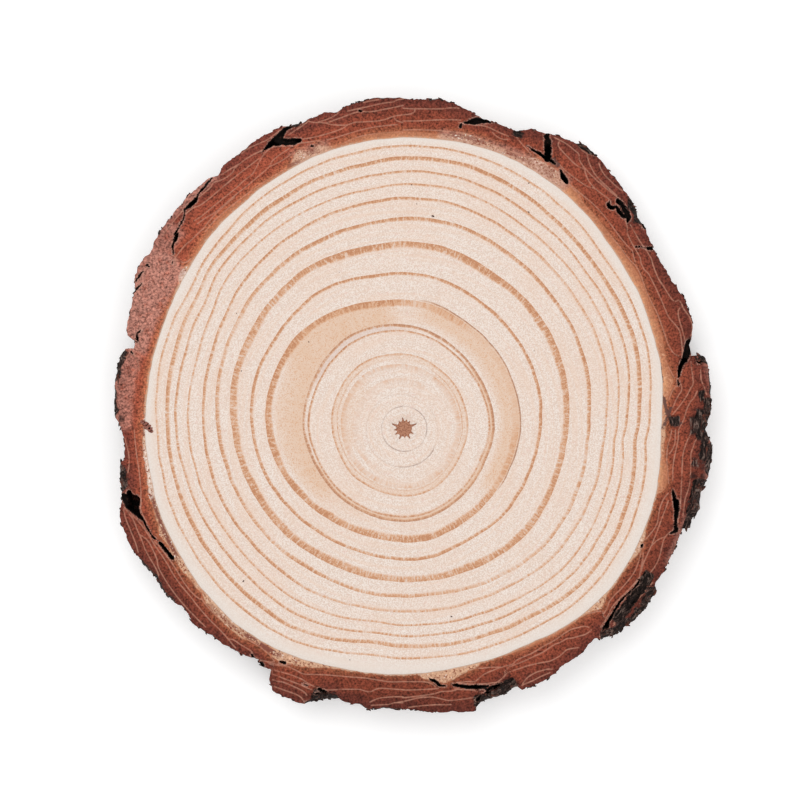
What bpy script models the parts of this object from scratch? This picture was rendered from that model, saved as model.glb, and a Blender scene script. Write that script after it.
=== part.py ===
"""A pine wood slice: a disc sawn across a young pine stem, lying flat with its bark still on.

The wood and the bark grew as one piece, so the slice is one solid. Both sawn faces are flat.
The bark round them is ragged: flakes have come off its wall in steps, fissures run down it,
and some of them open as dark cracks in the sawn face. The pith is a small star-shaped hollow.

Lengths here are millimetres and angles are degrees. Radii are measured from the pith, and
angles turn from +X towards +Y. The origin is under the middle of the slice, +Z is up.
"""

import math

import bmesh
import bpy
import numpy as np

MM = 0.001
THICKNESS = 10.0
PITH = (-1.68, -3.96)
COLUMNS = 288

# The bark is sawn a little lower than the harder wood, and its edges have crumbled.
BARK_STEP = 0.25
SEAM_WIDTH = 0.25
RIM_BEVEL = 0.5
LEAST_BARK = 0.9
WALL_HEIGHTS = (0.90, 0.80, 0.69, 0.58, 0.47, 0.36, 0.25, 0.14)

# The wood's radius under the bark, every 15 degrees.
WOOD_RADII = (
    41.4, 42.6, 43.5, 44.7, 46.2, 46.9, 46.7, 46.1, 44.8, 43.7, 42.3, 41.5,
    41.3, 41.1, 41.0, 41.0, 40.6, 39.5, 39.1, 39.2, 39.7, 41.4, 41.8, 41.8,
)

# Each year's dark latewood: its width, then its outer radius every 30 degrees.
RINGS = (
    (0.3, (10.4, 10.9, 11.4, 12.2, 12.5, 12.0, 11.4, 10.9, 10.6, 10.7, 10.6, 10.2)),
    (0.4, (14.6, 14.9, 15.7, 16.8, 17.3, 16.5, 16.0, 15.0, 14.7, 14.7, 14.4, 14.1)),
    (1.1, (18.7, 19.2, 20.0, 20.6, 21.9, 22.7, 21.9, 19.8, 18.2, 18.1, 17.8, 17.8)),
    (0.4, (22.1, 23.2, 24.2, 25.1, 25.9, 25.3, 24.3, 22.6, 21.0, 20.8, 20.7, 21.4)),
    (1.2, (26.4, 27.5, 29.0, 29.9, 30.1, 29.1, 27.4, 25.8, 24.5, 24.3, 25.1, 25.9)),
    (0.5, (29.6, 31.4, 33.0, 33.6, 33.1, 31.5, 29.8, 28.2, 26.9, 26.9, 28.0, 29.4)),
    (0.4, (32.2, 34.2, 35.7, 37.0, 35.8, 33.3, 32.0, 30.7, 29.8, 29.3, 30.1, 31.5)),
    (0.3, (33.9, 36.2, 37.9, 39.0, 38.2, 35.7, 34.6, 32.8, 32.0, 31.4, 32.3, 33.8)),
    (0.4, (35.5, 37.9, 40.0, 41.1, 40.0, 37.4, 36.5, 34.6, 34.1, 33.3, 34.1, 35.7)),
    (0.6, (37.6, 39.8, 41.9, 43.0, 41.6, 39.2, 37.9, 36.6, 36.2, 35.0, 36.0, 37.8)),
    (0.3, (39.2, 41.4, 44.2, 45.1, 43.5, 40.8, 39.5, 38.9, 38.2, 36.8, 37.8, 39.4)),
)

# The bark's ragged outline as seen from above: angle and radius.
OUTLINE = (
    (0, 48.5), (2, 49.0), (4, 49.6), (6, 49.3), (13, 49.8), (14.4, 49.6),
    (14.9, 47.8), (16.5, 47.9), (18, 48.8), (20, 49.3), (24, 49.6), (30, 49.1),
    (34, 49.3), (38, 49.9), (40, 50.6), (42, 50.7), (44, 51.7), (48, 52.3),
    (56, 53.9), (57.4, 54.2), (59, 53.6), (63, 53.0), (65, 52.2), (67, 52.0),
    (69, 51.1), (76, 51.5), (78.5, 52.3), (81, 52.8), (84, 53.3), (86, 52.8),
    (88, 52.8), (92, 53.3), (95, 53.4), (98, 53.0), (100, 52.8), (101.5, 51.9),
    (104, 52.3), (108, 51.8), (113, 52.3), (117, 52.0), (120, 51.5), (124, 51.2),
    (126, 50.4), (128, 50.9), (132, 50.9), (138, 50.4), (142, 50.1), (145, 49.4),
    (146, 49.8), (150, 49.6), (152.3, 48.5), (156, 47.7), (160, 47.2), (161.2, 46.6),
    (161.7, 45.1), (163.2, 45.0), (163.7, 46.4), (166, 46.9), (170, 46.8), (174, 46.6),
    (177.5, 46.2), (178.8, 45.4), (182, 44.6), (186, 44.8), (186.8, 45.8), (194, 46.4),
    (197.2, 47.5), (200, 47.5), (204, 47.4), (207, 46.9), (211, 46.1), (214, 46.4),
    (217.4, 46.0), (218.5, 45.3), (220, 45.3), (223, 45.8), (227, 45.1), (231, 44.8),
    (235, 44.2), (237.8, 43.4), (239, 44.2), (241.2, 43.8), (241.8, 45.4), (243.5, 46.8),
    (250, 46.8), (252, 45.8), (254, 45.0), (256.5, 44.3), (258, 44.6), (261, 44.5),
    (262.8, 45.3), (266, 44.8), (272, 44.8), (276, 45.6), (280, 45.8), (284, 46.6),
    (285.2, 45.8), (287, 45.3), (290, 45.4), (294, 45.0), (294.5, 45.8), (298, 46.1),
    (302, 46.1), (304, 45.6), (308, 45.8), (312.8, 45.4), (313.3, 46.2), (316, 47.2),
    (320, 47.8), (323, 48.2), (327.8, 48.0), (328.5, 47.3), (331, 47.5), (340.6, 47.5),
    (341, 48.6), (343, 48.5), (345, 49.3), (348, 48.8), (351, 49.4), (354, 49.8),
    (357, 49.8), (358.5, 49.1),
)

# Where the weathered outer bark reaches past the sawn edge: from, to, and how far.
SKIRTS = (
    (-18, -9, 1.6), (-9, -2, 1.2), (-2, 8, 1.9), (11.5, 14.6, 1.6), (40.5, 46.5, 1.2),
    (56, 59, 0.5), (83, 86, 0.5), (108, 111, 0.7), (163.5, 171, 1.0), (171, 178, 0.5),
    (186.5, 193, 1.4), (205, 218, 0.5), (250.5, 257, 1.3), (285, 294, 1.9),
    (313, 328.5, 2.2),
)

# Cracks in the sawn face: angle, radius and half width along each.
CRACKS = (
    ((9.5, 44.6, 0.25), (12, 45.3, 0.3), (14, 46.2, 0.5), (16, 48.5, 0.8)),
    ((43.0, 49.4, 0.5), (44.3, 50.3, 0.9), (45.8, 51.3, 0.6)),
    ((56.0, 47.3, 0.3), (58.2, 48.2, 0.4), (60.5, 48.8, 0.3), (62.0, 49.3, 0.5), (63.0, 51.8, 0.7)),
    ((74.0, 51.3, 0.3), (77.0, 50.9, 0.5), (78.6, 49.8, 0.4), (79.5, 48.8, 0.2)),
    ((107.8, 51.6, 0.3), (110.5, 51.2, 0.5), (112.8, 50.4, 0.8), (115.8, 50.0, 0.25)),
    ((109.3, 48.9, 0.3), (111.0, 49.5, 0.6), (111.8, 50.0, 0.6)),
    ((129.0, 50.4, 0.2), (132.5, 49.8, 0.4), (134.5, 49.5, 0.3), (139.0, 48.1, 0.2), (142.0, 46.8, 0.2)),
    ((193.0, 45.9, 0.5), (194.6, 44.8, 1.0), (197.3, 44.3, 0.6), (200.5, 43.8, 0.2)),
    ((202.5, 43.3, 0.2), (205, 42.7, 0.4), (207.5, 42.4, 0.4), (209.6, 42.2, 0.2)),
    ((281.2, 41.7, 0.2), (284.5, 42.6, 0.4), (287.5, 43.6, 0.8), (291, 44.2, 0.8), (293.5, 45.2, 0.5)),
    ((339.3, 46.6, 0.4), (342, 46.0, 0.4), (344, 45.3, 0.45), (346.8, 44.4, 0.2)),
    ((276.2, 40.4, 0.2), (278.8, 41.3, 0.3)),
)
CRACK_DEPTH = 6.0

# Cracks in the underside.
UNDER_CRACKS = (
    ((57.0, 46.8, 0.2), (60.0, 47.8, 0.35), (63.5, 48.4, 0.3), (65.5, 50.6, 0.6)),
    ((127.0, 49.4, 0.3), (131.0, 48.7, 0.4), (136.0, 47.4, 0.2)),
    ((190.5, 44.8, 0.4), (193.5, 43.8, 0.7), (197.5, 43.1, 0.2)),
    ((283.0, 42.3, 0.2), (287.0, 43.2, 0.5), (291.0, 43.9, 0.6)),
)
UNDER_CRACK_DEPTH = 3.0

# A crack is this much narrower at its end than at its mouth.
CRACK_TAPER = 0.55
CUTTER_RISE = 1.0

# Fissures down the wall: angle at the top, width, depth, and degrees of slant over the height.
FISSURES = (
    (15.7, 2.6, 1.6, -1.0), (29, 2.0, 1.2, 4.0), (44, 3.0, 1.8, 2.0), (63.2, 2.4, 2.2, 2.5),
    (76.5, 3.0, 1.6, 3.0), (91, 2.0, 1.2, -4.0), (101.6, 2.0, 1.4, -1.5), (110, 3.2, 2.2, 3.5),
    (126.2, 2.4, 1.8, 1.5), (139, 2.0, 1.4, -5.0), (152.5, 2.4, 1.3, -2.0), (162.4, 2.2, 1.6, 0.6),
    (179.5, 2.6, 1.4, 2.0), (189.5, 3.2, 1.6, -2.5), (204, 2.0, 1.4, 4.0), (218.6, 2.2, 1.2, 1.5),
    (229, 2.0, 1.0, -3.5), (237.9, 2.2, 1.2, 0.8), (254, 3.0, 1.6, -3.0), (268, 2.0, 1.2, 3.5),
    (289, 3.6, 2.2, -2.0), (303.5, 2.2, 1.2, -2.5), (313.5, 2.4, 1.8, 1.5), (328.6, 2.4, 1.6, -1.5),
    (341, 2.6, 2.0, 2.0), (353, 2.2, 1.6, -4.0),
)

# Layers of flaked bark: a flake's thickness, and the noise that says how many are gone.
FLAKE = 0.55
FLAKE_LAYERS = 5
FLAKE_NOISE = ((26, 3, 0.55, 11), (70, 5, 0.30, 12), (180, 9, 0.15, 13))
WALL_BLEND = 1.8

PITH_RADIUS = 1.15
PITH_RAYS = (22, 62, 98, 140, 160, 187, 215, 245, 275, 301, 334)
PITH_RAY_LENGTH = 0.75
PITH_DEPTH = 0.3

COLOURS = {
    "earlywood": ((0.80, 0.62, 0.50), 0.62),
    "latewood": ((0.68, 0.36, 0.20), 0.60),
    "pith": ((0.48, 0.21, 0.12), 0.85),
    "bark_sawn": ((0.24, 0.065, 0.040), 0.85),
    "bark_weathered": ((0.085, 0.050, 0.038), 0.92),
}
EARLYWOOD, LATEWOOD, PITH_SLOT, BARK_SAWN, BARK_WEATHERED = range(len(COLOURS))


def smoothstep(x):
    x = np.clip(x, 0.0, 1.0)
    return x * x * (3 - 2 * x)


def closed_curve(radii, angles):
    """The smooth closed curve through radii spaced evenly round the circle, read at angles."""
    waves = np.fft.rfft(radii) / len(radii)
    order = np.arange(len(waves))
    weight = np.where((order == 0) | (order == len(radii) / 2), 1.0, 2.0)
    turn = np.exp(1j * np.radians(angles)[:, None] * order)
    return (turn * waves * weight).real.sum(axis=1)


def outline_radius(angles):
    corner_angles, corner_radii = np.array(OUTLINE).T
    return np.interp(angles, corner_angles, corner_radii, period=360)


def skirt(angles):
    """How far the weathered bark reaches past the sawn edge, with soft ends to each stretch."""
    reach = np.zeros_like(angles)
    for start, end, amount in SKIRTS:
        along = (angles - start) % 360
        length = (end - start) % 360
        ramp = np.minimum(along, length - along)
        reach = np.maximum(reach, amount * smoothstep(ramp / 1.2))
    return reach


def wall_noise(angles, heights, cells_round, cells_up, seed):
    """Smooth noise from 0 to 1 on the wall, closed round the stem: one value per height and angle."""
    table = np.random.default_rng(seed).random((cells_up + 1, cells_round))
    across = angles / 360 * cells_round
    up = heights / THICKNESS * cells_up
    i, j = np.floor(across).astype(int), np.minimum(np.floor(up).astype(int), cells_up - 1)
    s, t = smoothstep(across - i), smoothstep(up - j)[:, None]
    left, right = i % cells_round, (i + 1) % cells_round
    low = table[j][:, left] * (1 - s) + table[j][:, right] * s
    high = table[j + 1][:, left] * (1 - s) + table[j + 1][:, right] * s
    return low * (1 - t) + high * t


def flaked_away(angles, heights):
    """Depth of bark that has come off the wall, in steps one flake thick."""
    field = sum(
        share * wall_noise(angles, heights, round_, up, seed)
        for round_, up, share, seed in FLAKE_NOISE
    )
    layers = FLAKE_LAYERS * field
    whole = np.floor(layers)
    return FLAKE * (whole + smoothstep((layers - whole - 0.7) / 0.3))


def fissure_depth(angles, heights):
    depth = np.zeros((len(heights), len(angles)))
    for top_angle, width, most, slant in FISSURES:
        centre = top_angle + slant * (1 - heights[:, None] / THICKNESS)
        off = np.abs((angles - centre + 180) % 360 - 180)
        depth = np.maximum(depth, most * smoothstep(1 - off / (width / 2)))
    return depth


def wall_radii(angles, heights):
    """The bark's radius at each height and angle. Seen from above, it never passes OUTLINE."""
    inside = flaked_away(angles, heights) + fissure_depth(angles, heights)
    inside -= inside.min(axis=0)
    below = smoothstep((THICKNESS - heights[:, None]) / WALL_BLEND)
    inside = skirt(angles) * (1 - below) + inside * below
    least = closed_curve(WOOD_RADII, angles) + LEAST_BARK
    return np.maximum(outline_radius(angles) - inside, least)


def point_at(angle, radius, height):
    turn = math.radians(angle)
    x = PITH[0] + radius * math.cos(turn)
    y = PITH[1] + radius * math.sin(turn)
    return (x * MM, y * MM, height * MM)


def face_loops(angles, height):
    """Loops of a sawn wood face from the pith outwards, each with the slot of the band inside it."""
    loops = []
    for width, radii in RINGS:
        outer = closed_curve(radii, angles)
        loops.append((outer - width, height, EARLYWOOD))
        loops.append((outer, height, LATEWOOD))
    loops.append((closed_curve(WOOD_RADII, angles), height, EARLYWOOD))
    return loops


def slice_loops(angles):
    """All loops over the top, down the wall and back in over the bottom."""
    wood = closed_curve(WOOD_RADII, angles)
    edge = outline_radius(angles) - skirt(angles)
    heights = THICKNESS * np.array(WALL_HEIGHTS)
    wall = wall_radii(angles, heights)
    foot_height = BARK_STEP + RIM_BEVEL
    foot = wall_radii(angles, np.array([foot_height]))[0]
    foot = np.minimum(foot, wall[-1] + RIM_BEVEL)
    crumbled = wall_noise(angles, np.array([0.0]), 90, 1, 21)[0]
    sawn = THICKNESS - BARK_STEP
    loops = face_loops(angles, THICKNESS)
    loops.append((wood + SEAM_WIDTH, sawn, BARK_SAWN))
    loops.append((wood + 0.5 * (edge - wood), sawn - 0.15 * crumbled, BARK_SAWN))
    loops.append((edge - RIM_BEVEL, sawn, BARK_SAWN))
    loops.append((edge, sawn - 0.1 - RIM_BEVEL * crumbled, BARK_SAWN))
    loops += [(radii, height, BARK_WEATHERED) for radii, height in zip(wall, heights)]
    loops.append((foot, foot_height, BARK_WEATHERED))
    loops.append((foot - RIM_BEVEL, BARK_STEP, BARK_SAWN))
    loops.append((wood + SEAM_WIDTH, BARK_STEP, BARK_SAWN))
    under = face_loops(angles, 0.0)
    bands = [BARK_SAWN] + [slot for _, _, slot in under[:0:-1]]
    loops += [(radii, height, band) for (radii, height, _), band in zip(under[::-1], bands)]
    return loops


def slice_mesh():
    angles = np.arange(COLUMNS) * 360 / COLUMNS
    body = bmesh.new()
    rings = []
    for radii, height, slot in slice_loops(angles):
        heights = np.broadcast_to(height, angles.shape)
        ring = [body.verts.new(point_at(*place)) for place in zip(angles, radii, heights)]
        rings.append((ring, slot))
    body.faces.new(rings[0][0])
    for (inner, _), (outer, slot) in zip(rings, rings[1:]):
        for k in range(COLUMNS):
            after = (k + 1) % COLUMNS
            quad = body.faces.new((inner[k], outer[k], outer[after], inner[after]))
            quad.material_index = slot
    body.faces.new(reversed(rings[-1][0]))
    mesh = bpy.data.meshes.new("wood_slice")
    body.to_mesh(mesh)
    body.free()
    return mesh


def cutter_object(name, low_outline, high_outline, bottom, top, slot):
    """A closed prism between two outlines, hidden, that a Boolean takes away."""
    count = len(low_outline)
    low = [(x * MM, y * MM, bottom * MM) for x, y in low_outline]
    high = [(x * MM, y * MM, top * MM) for x, y in high_outline]
    sides = [(k, (k + 1) % count, count + (k + 1) % count, count + k) for k in range(count)]
    caps = [tuple(reversed(range(count))), tuple(range(count, 2 * count))]
    mesh = bpy.data.meshes.new(name)
    mesh.from_pydata(low + high, [], sides + caps)
    for material in slice_materials():
        mesh.materials.append(material)
    mesh.polygons.foreach_set("material_index", [slot] * len(mesh.polygons))
    cutter = bpy.data.objects.new(name, mesh)
    cutter.hide_render = True
    cutter.display_type = "WIRE"
    return cutter


def crack_outline(crack, scale):
    """The crack's plan, anticlockwise: out along one side of its line and back along the other."""
    line = [np.array(point_at(angle, radius, 0)[:2]) / MM for angle, radius, _ in crack]
    halves = [half * scale for _, _, half in crack]
    last = len(line) - 1
    along = [line[min(k + 1, last)] - line[max(k - 1, 0)] for k in range(len(line))]
    along = [step / np.linalg.norm(step) for step in along]
    side = [np.array((-step[1], step[0])) for step in along]
    right = [p - half * s for p, half, s in zip(line, halves, side)]
    left = [p + half * s for p, half, s in zip(line, halves, side)]
    start = line[0] - along[0] * halves[0]
    end = line[-1] + along[-1] * halves[-1]
    return [start] + right + [end] + left[::-1]


def pith_outline(scale):
    """The pith's star: a short ray at each angle of PITH_RAYS."""
    corners = []
    for k, ray in enumerate(PITH_RAYS):
        following = PITH_RAYS[(k + 1) % len(PITH_RAYS)]
        between = ray + ((following - ray) % 360) / 2
        corners.append((ray, PITH_RADIUS + PITH_RAY_LENGTH))
        corners.append((between, PITH_RADIUS))
    return [np.array(point_at(angle, radius * scale, 0)[:2]) / MM for angle, radius in corners]


def add_cutters(wood_slice):
    cutters = bpy.data.collections.new("cutters")
    bpy.context.scene.collection.children.link(cutters)
    above, below = THICKNESS + CUTTER_RISE, -CUTTER_RISE
    for number, crack in enumerate(CRACKS, start=1):
        ends = crack_outline(crack, CRACK_TAPER), crack_outline(crack, 1.0)
        depth = THICKNESS - CRACK_DEPTH
        cutter = cutter_object(f"crack_{number:02d}", *ends, depth, above, BARK_WEATHERED)
        cutters.objects.link(cutter)
    for number, crack in enumerate(UNDER_CRACKS, start=1):
        ends = crack_outline(crack, 1.0), crack_outline(crack, CRACK_TAPER)
        cutter = cutter_object(f"under_crack_{number:02d}", *ends, below, UNDER_CRACK_DEPTH, BARK_WEATHERED)
        cutters.objects.link(cutter)
    ends = pith_outline(0.8), pith_outline(1.0)
    cutters.objects.link(cutter_object("pith_hollow", *ends, THICKNESS - PITH_DEPTH, above, PITH_SLOT))
    cut = wood_slice.modifiers.new("cracks and pith", "BOOLEAN")
    cut.operation = "DIFFERENCE"
    cut.operand_type = "COLLECTION"
    cut.collection = cutters
    cut.solver = "EXACT"
    cut.material_mode = "TRANSFER"


def slice_materials():
    """The slice's materials, made once."""
    made = []
    for name, (colour, roughness) in COLOURS.items():
        material = bpy.data.materials.get(name)
        if material is None:
            material = bpy.data.materials.new(name)
            material.use_nodes = True
            material.diffuse_color = (*colour, 1.0)
            shader = material.node_tree.nodes["Principled BSDF"]
            shader.inputs["Base Color"].default_value = (*colour, 1.0)
            shader.inputs["Roughness"].default_value = roughness
            shader.inputs["Metallic"].default_value = 0.0
        made.append(material)
    return made


def main():
    for old in list(bpy.data.objects):
        bpy.data.objects.remove(old)
    mesh = slice_mesh()
    for material in slice_materials():
        mesh.materials.append(material)
    wood_slice = bpy.data.objects.new("wood_slice", mesh)
    bpy.context.scene.collection.objects.link(wood_slice)
    add_cutters(wood_slice)


main()
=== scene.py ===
"""The look of a pine wood slice that lies flat, seen from straight above.

Two pieces stand for the one solid: the wood, sanded flat with its rings and its star-shaped pith,
and the bark round it, with its layers of scales, its cracks and its flaked wall. Small loose bits
lie where the two meet and stand out round the rim. Lengths are millimetres and angles are degrees,
unless a comment says otherwise. Radii are measured from the pith, and angles turn from +X towards
+Y. Colours are linear red, green and blue.
"""

import math
from collections import namedtuple

import bmesh
import bpy
import numpy as np
from mathutils import Matrix, Vector


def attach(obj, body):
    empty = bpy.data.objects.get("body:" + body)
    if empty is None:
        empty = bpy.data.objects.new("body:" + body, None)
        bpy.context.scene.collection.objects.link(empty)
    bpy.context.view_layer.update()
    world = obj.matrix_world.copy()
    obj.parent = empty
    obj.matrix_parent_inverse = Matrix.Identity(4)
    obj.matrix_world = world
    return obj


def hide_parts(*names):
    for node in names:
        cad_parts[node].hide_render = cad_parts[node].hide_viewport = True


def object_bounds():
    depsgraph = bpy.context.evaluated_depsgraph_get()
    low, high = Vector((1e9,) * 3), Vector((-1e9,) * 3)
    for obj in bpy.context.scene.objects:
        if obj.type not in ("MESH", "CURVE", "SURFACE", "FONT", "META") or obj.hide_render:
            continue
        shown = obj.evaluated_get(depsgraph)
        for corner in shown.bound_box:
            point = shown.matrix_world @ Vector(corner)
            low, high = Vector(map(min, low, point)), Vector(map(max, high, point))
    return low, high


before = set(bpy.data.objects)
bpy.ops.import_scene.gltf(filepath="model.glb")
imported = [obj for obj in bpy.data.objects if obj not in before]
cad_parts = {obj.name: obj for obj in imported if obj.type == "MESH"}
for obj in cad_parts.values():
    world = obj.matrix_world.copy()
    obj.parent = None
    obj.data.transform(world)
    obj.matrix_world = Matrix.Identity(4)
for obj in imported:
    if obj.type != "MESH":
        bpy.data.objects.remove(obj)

CAD_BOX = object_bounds()

MM = 0.001
PITH = (-1.68, -3.96)
THICKNESS = 10.0
TOP = THICKNESS
# The wood lies a little below the solid's face, and the softer bark lies lower still.
WOOD_TOP = TOP - 0.06
BARK_STEP = 0.25
BARK_TOP = TOP - BARK_STEP
# The dressed slice stays this far inside the solid that it stands for.
INSET = 0.02
DRESSED_BOX = np.array(CAD_BOX) + [[INSET * MM], [-INSET * MM]] * np.array([1, 1, 0])

# How many columns the meshes have round the pith: the wood's face and underside, and the bark's
# face and wall. A lower number is half of the one above it, so that the loops join two to one.
WOOD_COLUMNS = 648
UNDER_COLUMNS = 324
BARK_COLUMNS = 1200
WALL_COLUMNS = 600

# The wood's radius under the bark, every 15 degrees.
WOOD_RADII = (
    41.4, 42.6, 43.5, 44.7, 46.2, 46.9, 46.7, 46.1, 44.8, 43.7, 42.3, 41.5,
    41.3, 41.1, 41.0, 41.0, 40.6, 39.5, 39.1, 39.2, 39.7, 41.4, 41.8, 41.8,
)

# A ring of dark latewood. Its outer radius is given every 20 degrees, the band reaches inwards by
# its width and fades over its fade, and a factor weakens it over each arc: from, to, factor.
Ring = namedtuple("Ring", "radii width fade strength grey arcs")
RINGS = (
    Ring((3.85, 3.9, 3.9, 3.85, 3.8, 3.75, 3.7, 3.6, 3.5, 3.45, 3.4, 3.4, 3.4, 3.45, 3.5, 3.6, 3.7,
          3.75),
         0.10, 0.10, 0.12, 0.72, ((60, 90, 0.4), (110, 200, 0.5), (290, 345, 0.4))),
    Ring((5.6, 5.5, 5.4, 5.4, 5.6, 5.8, 5.9, 5.9, 5.9, 5.9, 6.0, 6.0, 6.0, 6.0, 6.0, 6.0, 5.9, 5.7),
         0.12, 0.12, 0.14, 0.60, ((330, 360, 0.2), (0, 150, 0.2), (150, 262, 0.3))),
    Ring((7.7, 7.6, 7.7, 7.8, 8.1, 8.3, 8.4, 8.3, 8.2, 8.1, 8.0, 7.9, 7.9, 7.9, 7.9, 7.9, 7.8, 7.7),
         0.7, 0.6, 0.24, 0.0, ((240, 420, 0.4),)),
    Ring((9.2, 9.3, 9.6, 9.9, 10.3, 10.6, 10.8, 10.6, 10.2, 9.9, 9.6, 9.5, 9.3, 9.3, 9.4, 9.3, 9.1,
          9.0),
         0.55, 0.6, 0.36, 0.0, ((60, 120, 0.85), (240, 300, 0.85))),
    Ring((9.5, 9.7, 10.1, 10.5, 11.1, 11.4, 11.6, 11.3, 10.9, 10.5, 10.1, 10.0, 9.7, 9.7, 9.8, 9.7, 9.3,
          9.2),
         0.10, 0.14, 0.46, 0.06, ((60, 120, 0.5), (240, 330, 0.7))),
    Ring((10.4, 10.6, 11.0, 11.4, 12.0, 12.3, 12.5, 12.2, 11.8, 11.4, 10.9, 10.9, 10.6, 10.6, 10.7,
          10.6, 10.2, 10.1),
         0.18, 0.24, 0.66, 0.06, ((60, 120, 0.85), (240, 380, 0.85))),
    Ring((13.9, 14.0, 14.3, 14.9, 15.6, 16.1, 16.2, 15.8, 15.4, 15.2, 14.5, 14.2, 14.0, 14.0, 14.0,
          13.7, 13.4, 13.4),
         0.18, 0.22, 0.82, 0.10, ((300, 360, 0.7),)),
    Ring((14.6, 14.7, 15.0, 15.7, 16.5, 17.1, 17.3, 16.8, 16.3, 16.0, 15.2, 14.9, 14.7, 14.7, 14.7,
          14.4, 14.1, 14.1),
         0.28, 0.20, 1.05, 0.20, ((130, 180, 0.75), (300, 360, 0.85))),
    Ring((18.45, 18.75, 19.25, 19.75, 20.6, 21.0, 21.9, 22.7, 22.4, 21.9, 20.6, 19.2, 18.2, 17.9, 18.1,
          17.8, 17.7, 17.9),
         0.80, 0.42, 0.92, 0.0, ((325, 360, 0.6), (0, 60, 0.28), (60, 95, 0.7))),
    Ring((18.8, 19.1, 19.6, 20.1, 20.9, 21.2, 22.1, 22.9, 22.6, 22.1, 20.8, 19.4, 18.4, 18.1, 18.3,
          18.0, 17.9, 18.2),
         0.14, 0.10, 1.0, 0.50, ((80, 330, 0.0),)),
    Ring((22.1, 22.9, 23.5, 24.2, 25.0, 25.3, 25.9, 25.4, 25.1, 24.3, 23.2, 21.9, 21.0, 20.8, 21.0,
          20.6, 21.1, 21.4),
         0.32, 0.26, 1.0, 0.0, ((120, 360, 0.9),)),
    Ring((26.4, 27.5, 28.5, 29.1, 30.0, 30.0, 30.1, 29.4, 28.6, 27.4, 26.2, 25.3, 24.5, 24.3, 24.5,
          25.1, 25.8, 25.9),
         0.84, 0.42, 0.90, 0.0, ((120, 180, 0.85), (240, 380, 0.85))),
    Ring((29.85, 31.2, 32.1, 33.2, 34.05, 33.7, 33.15, 32.35, 31.0, 29.8, 28.6, 27.7, 26.9, 26.9, 26.9,
          28.1, 29.2, 29.7),
         0.38, 0.35, 0.98, 0.0, ((125, 230, 0.68), (240, 360, 0.6))),
    Ring((32.45, 34.15, 35.0, 36.05, 37.15, 36.95, 35.95, 34.7, 32.95, 32.1, 31.3, 30.25, 29.8, 29.2,
          29.4, 30.2, 31.45, 32.05),
         0.28, 0.26, 0.86, 0.0, ((240, 420, 0.65),)),
    Ring((34.25, 36.0, 36.95, 38.15, 39.4, 38.95, 38.1, 37.15, 35.0, 34.5, 33.4, 32.4, 32.2, 31.3, 31.6,
          32.5, 33.9, 34.1),
         0.20, 0.24, 0.66, 0.0, ()),
    Ring((35.8, 37.85, 38.8, 40.2, 41.45, 41.05, 40.15, 38.9, 37.05, 36.5, 35.25, 34.4, 34.2, 33.2,
          33.3, 34.25, 35.6, 35.9),
         0.24, 0.25, 0.82, 0.0, ((120, 180, 0.85), (240, 360, 0.9))),
    Ring((37.75, 39.75, 40.7, 42.35, 43.75, 43.15, 41.85, 40.4, 38.8, 37.95, 37.3, 36.7, 36.4, 34.95,
          35.2, 36.2, 37.75, 38.05),
         0.42, 0.30, 1.0, 0.0, ((125, 182, 0.7), (240, 330, 0.75), (330, 400, 0.9))),
    Ring((39.4, 41.35, 42.5, 44.5, 45.5, 45.2, 43.6, 41.75, 40.5, 39.55, 39.1, 38.7, 38.2, 36.8, 36.9,
          38.0, 39.35, 39.65),
         0.21, 0.25, 0.74, 0.0, ((255, 330, 0.85), (150, 180, 0.75))),
)
# How sharply a ring ends outwards, and the least distance between two loops of the wood.
RING_EDGE = 0.07
LEAST_ROW = 0.01
# Small dents that the rings past DENTS_FROM share: angle, half width and depth.
DENTS = ((357.5, 3.0, 0.35), (262.0, 4.0, 0.3), (147.0, 4.0, 0.3))
DENTS_FROM = 33.0

# Tan stained wood past a ring: the ring's number, from, to, and how strong it is at the ring, just
# past it, a millimetre past it, shortly before the next ring's band, and at the band. Only the
# wide gap past the second of the twins has loops of its own at the three places between.
STAINS = (
    (7, 95, 150, (0.95, 0.95, 0.95, 0.95, 0.9)),
    (7, 150, 222, (0.95, 0.95, 0.95, 0.6, 0.0)),
    (7, 222, 250, (0.35, 0.3, 0.2, 0.0, 0.0)),
    (7, 325, 443, (0.0, 0.0, 0.45, 0.9, 0.85)),
    (8, 335, 440, (0.85, 0.85, 0.85, 0.85, 0.85)),
    (6, 200, 405, (0.9, 0.85, 0.85, 0.85, 0.9)),
    (4, -20, 380, (0.4, 0.4, 0.4, 0.4, 0.4)),
    (3, 150, 230, (0.35, 0.35, 0.35, 0.35, 0.3)),
    (3, -10, 60, (0.3, 0.3, 0.3, 0.3, 0.3)),
    (3, 230, 330, (0.2, 0.2, 0.2, 0.2, 0.25)),
    (2, 130, 200, (0.3, 0.3, 0.3, 0.3, 0.3)),
)
# Those three places: how far past the ring, or before the next band where it is less than 0.
STAIN_PLACES = (0.35, 1.1, -0.9)
# The numbers of the first two strong rings, a close pair, and the smoky wood between them: from, to.
TWINS = (6, 7)
SMOKE = (88, 152)

# How many loose bits there are, and the least and greatest half size of one outwards, along the
# rim and up.
FLAKES = 460
FLAKE_SIZES = ((0.08, 0.30), (0.15, 0.75), (0.06, 0.22))
CRUMBS = 420
CRUMB_SIZES = ((0.05, 0.14), (0.06, 0.35), (0.04, 0.09))

PITH_RADIUS = 1.2
# The pith's rays: angle and length past the pith's radius.
PITH_RAYS = (
    (22, 0.95), (52, 0.36), (73, 0.34), (98, 0.62), (125, 0.26), (158, 0.95), (187, 0.42),
    (213, 0.5), (245, 0.6), (275, 0.25), (301, 0.62), (332, 0.45),
)
PITH_RAY_WIDTH = 5.5
PITH_DEPTH = 0.15
# The star sits off the middle of the rings, and what lies within this radius goes with it.
STAR_SHIFT = (0.18, 0.16)
STAR_REACH = 3.0

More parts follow.
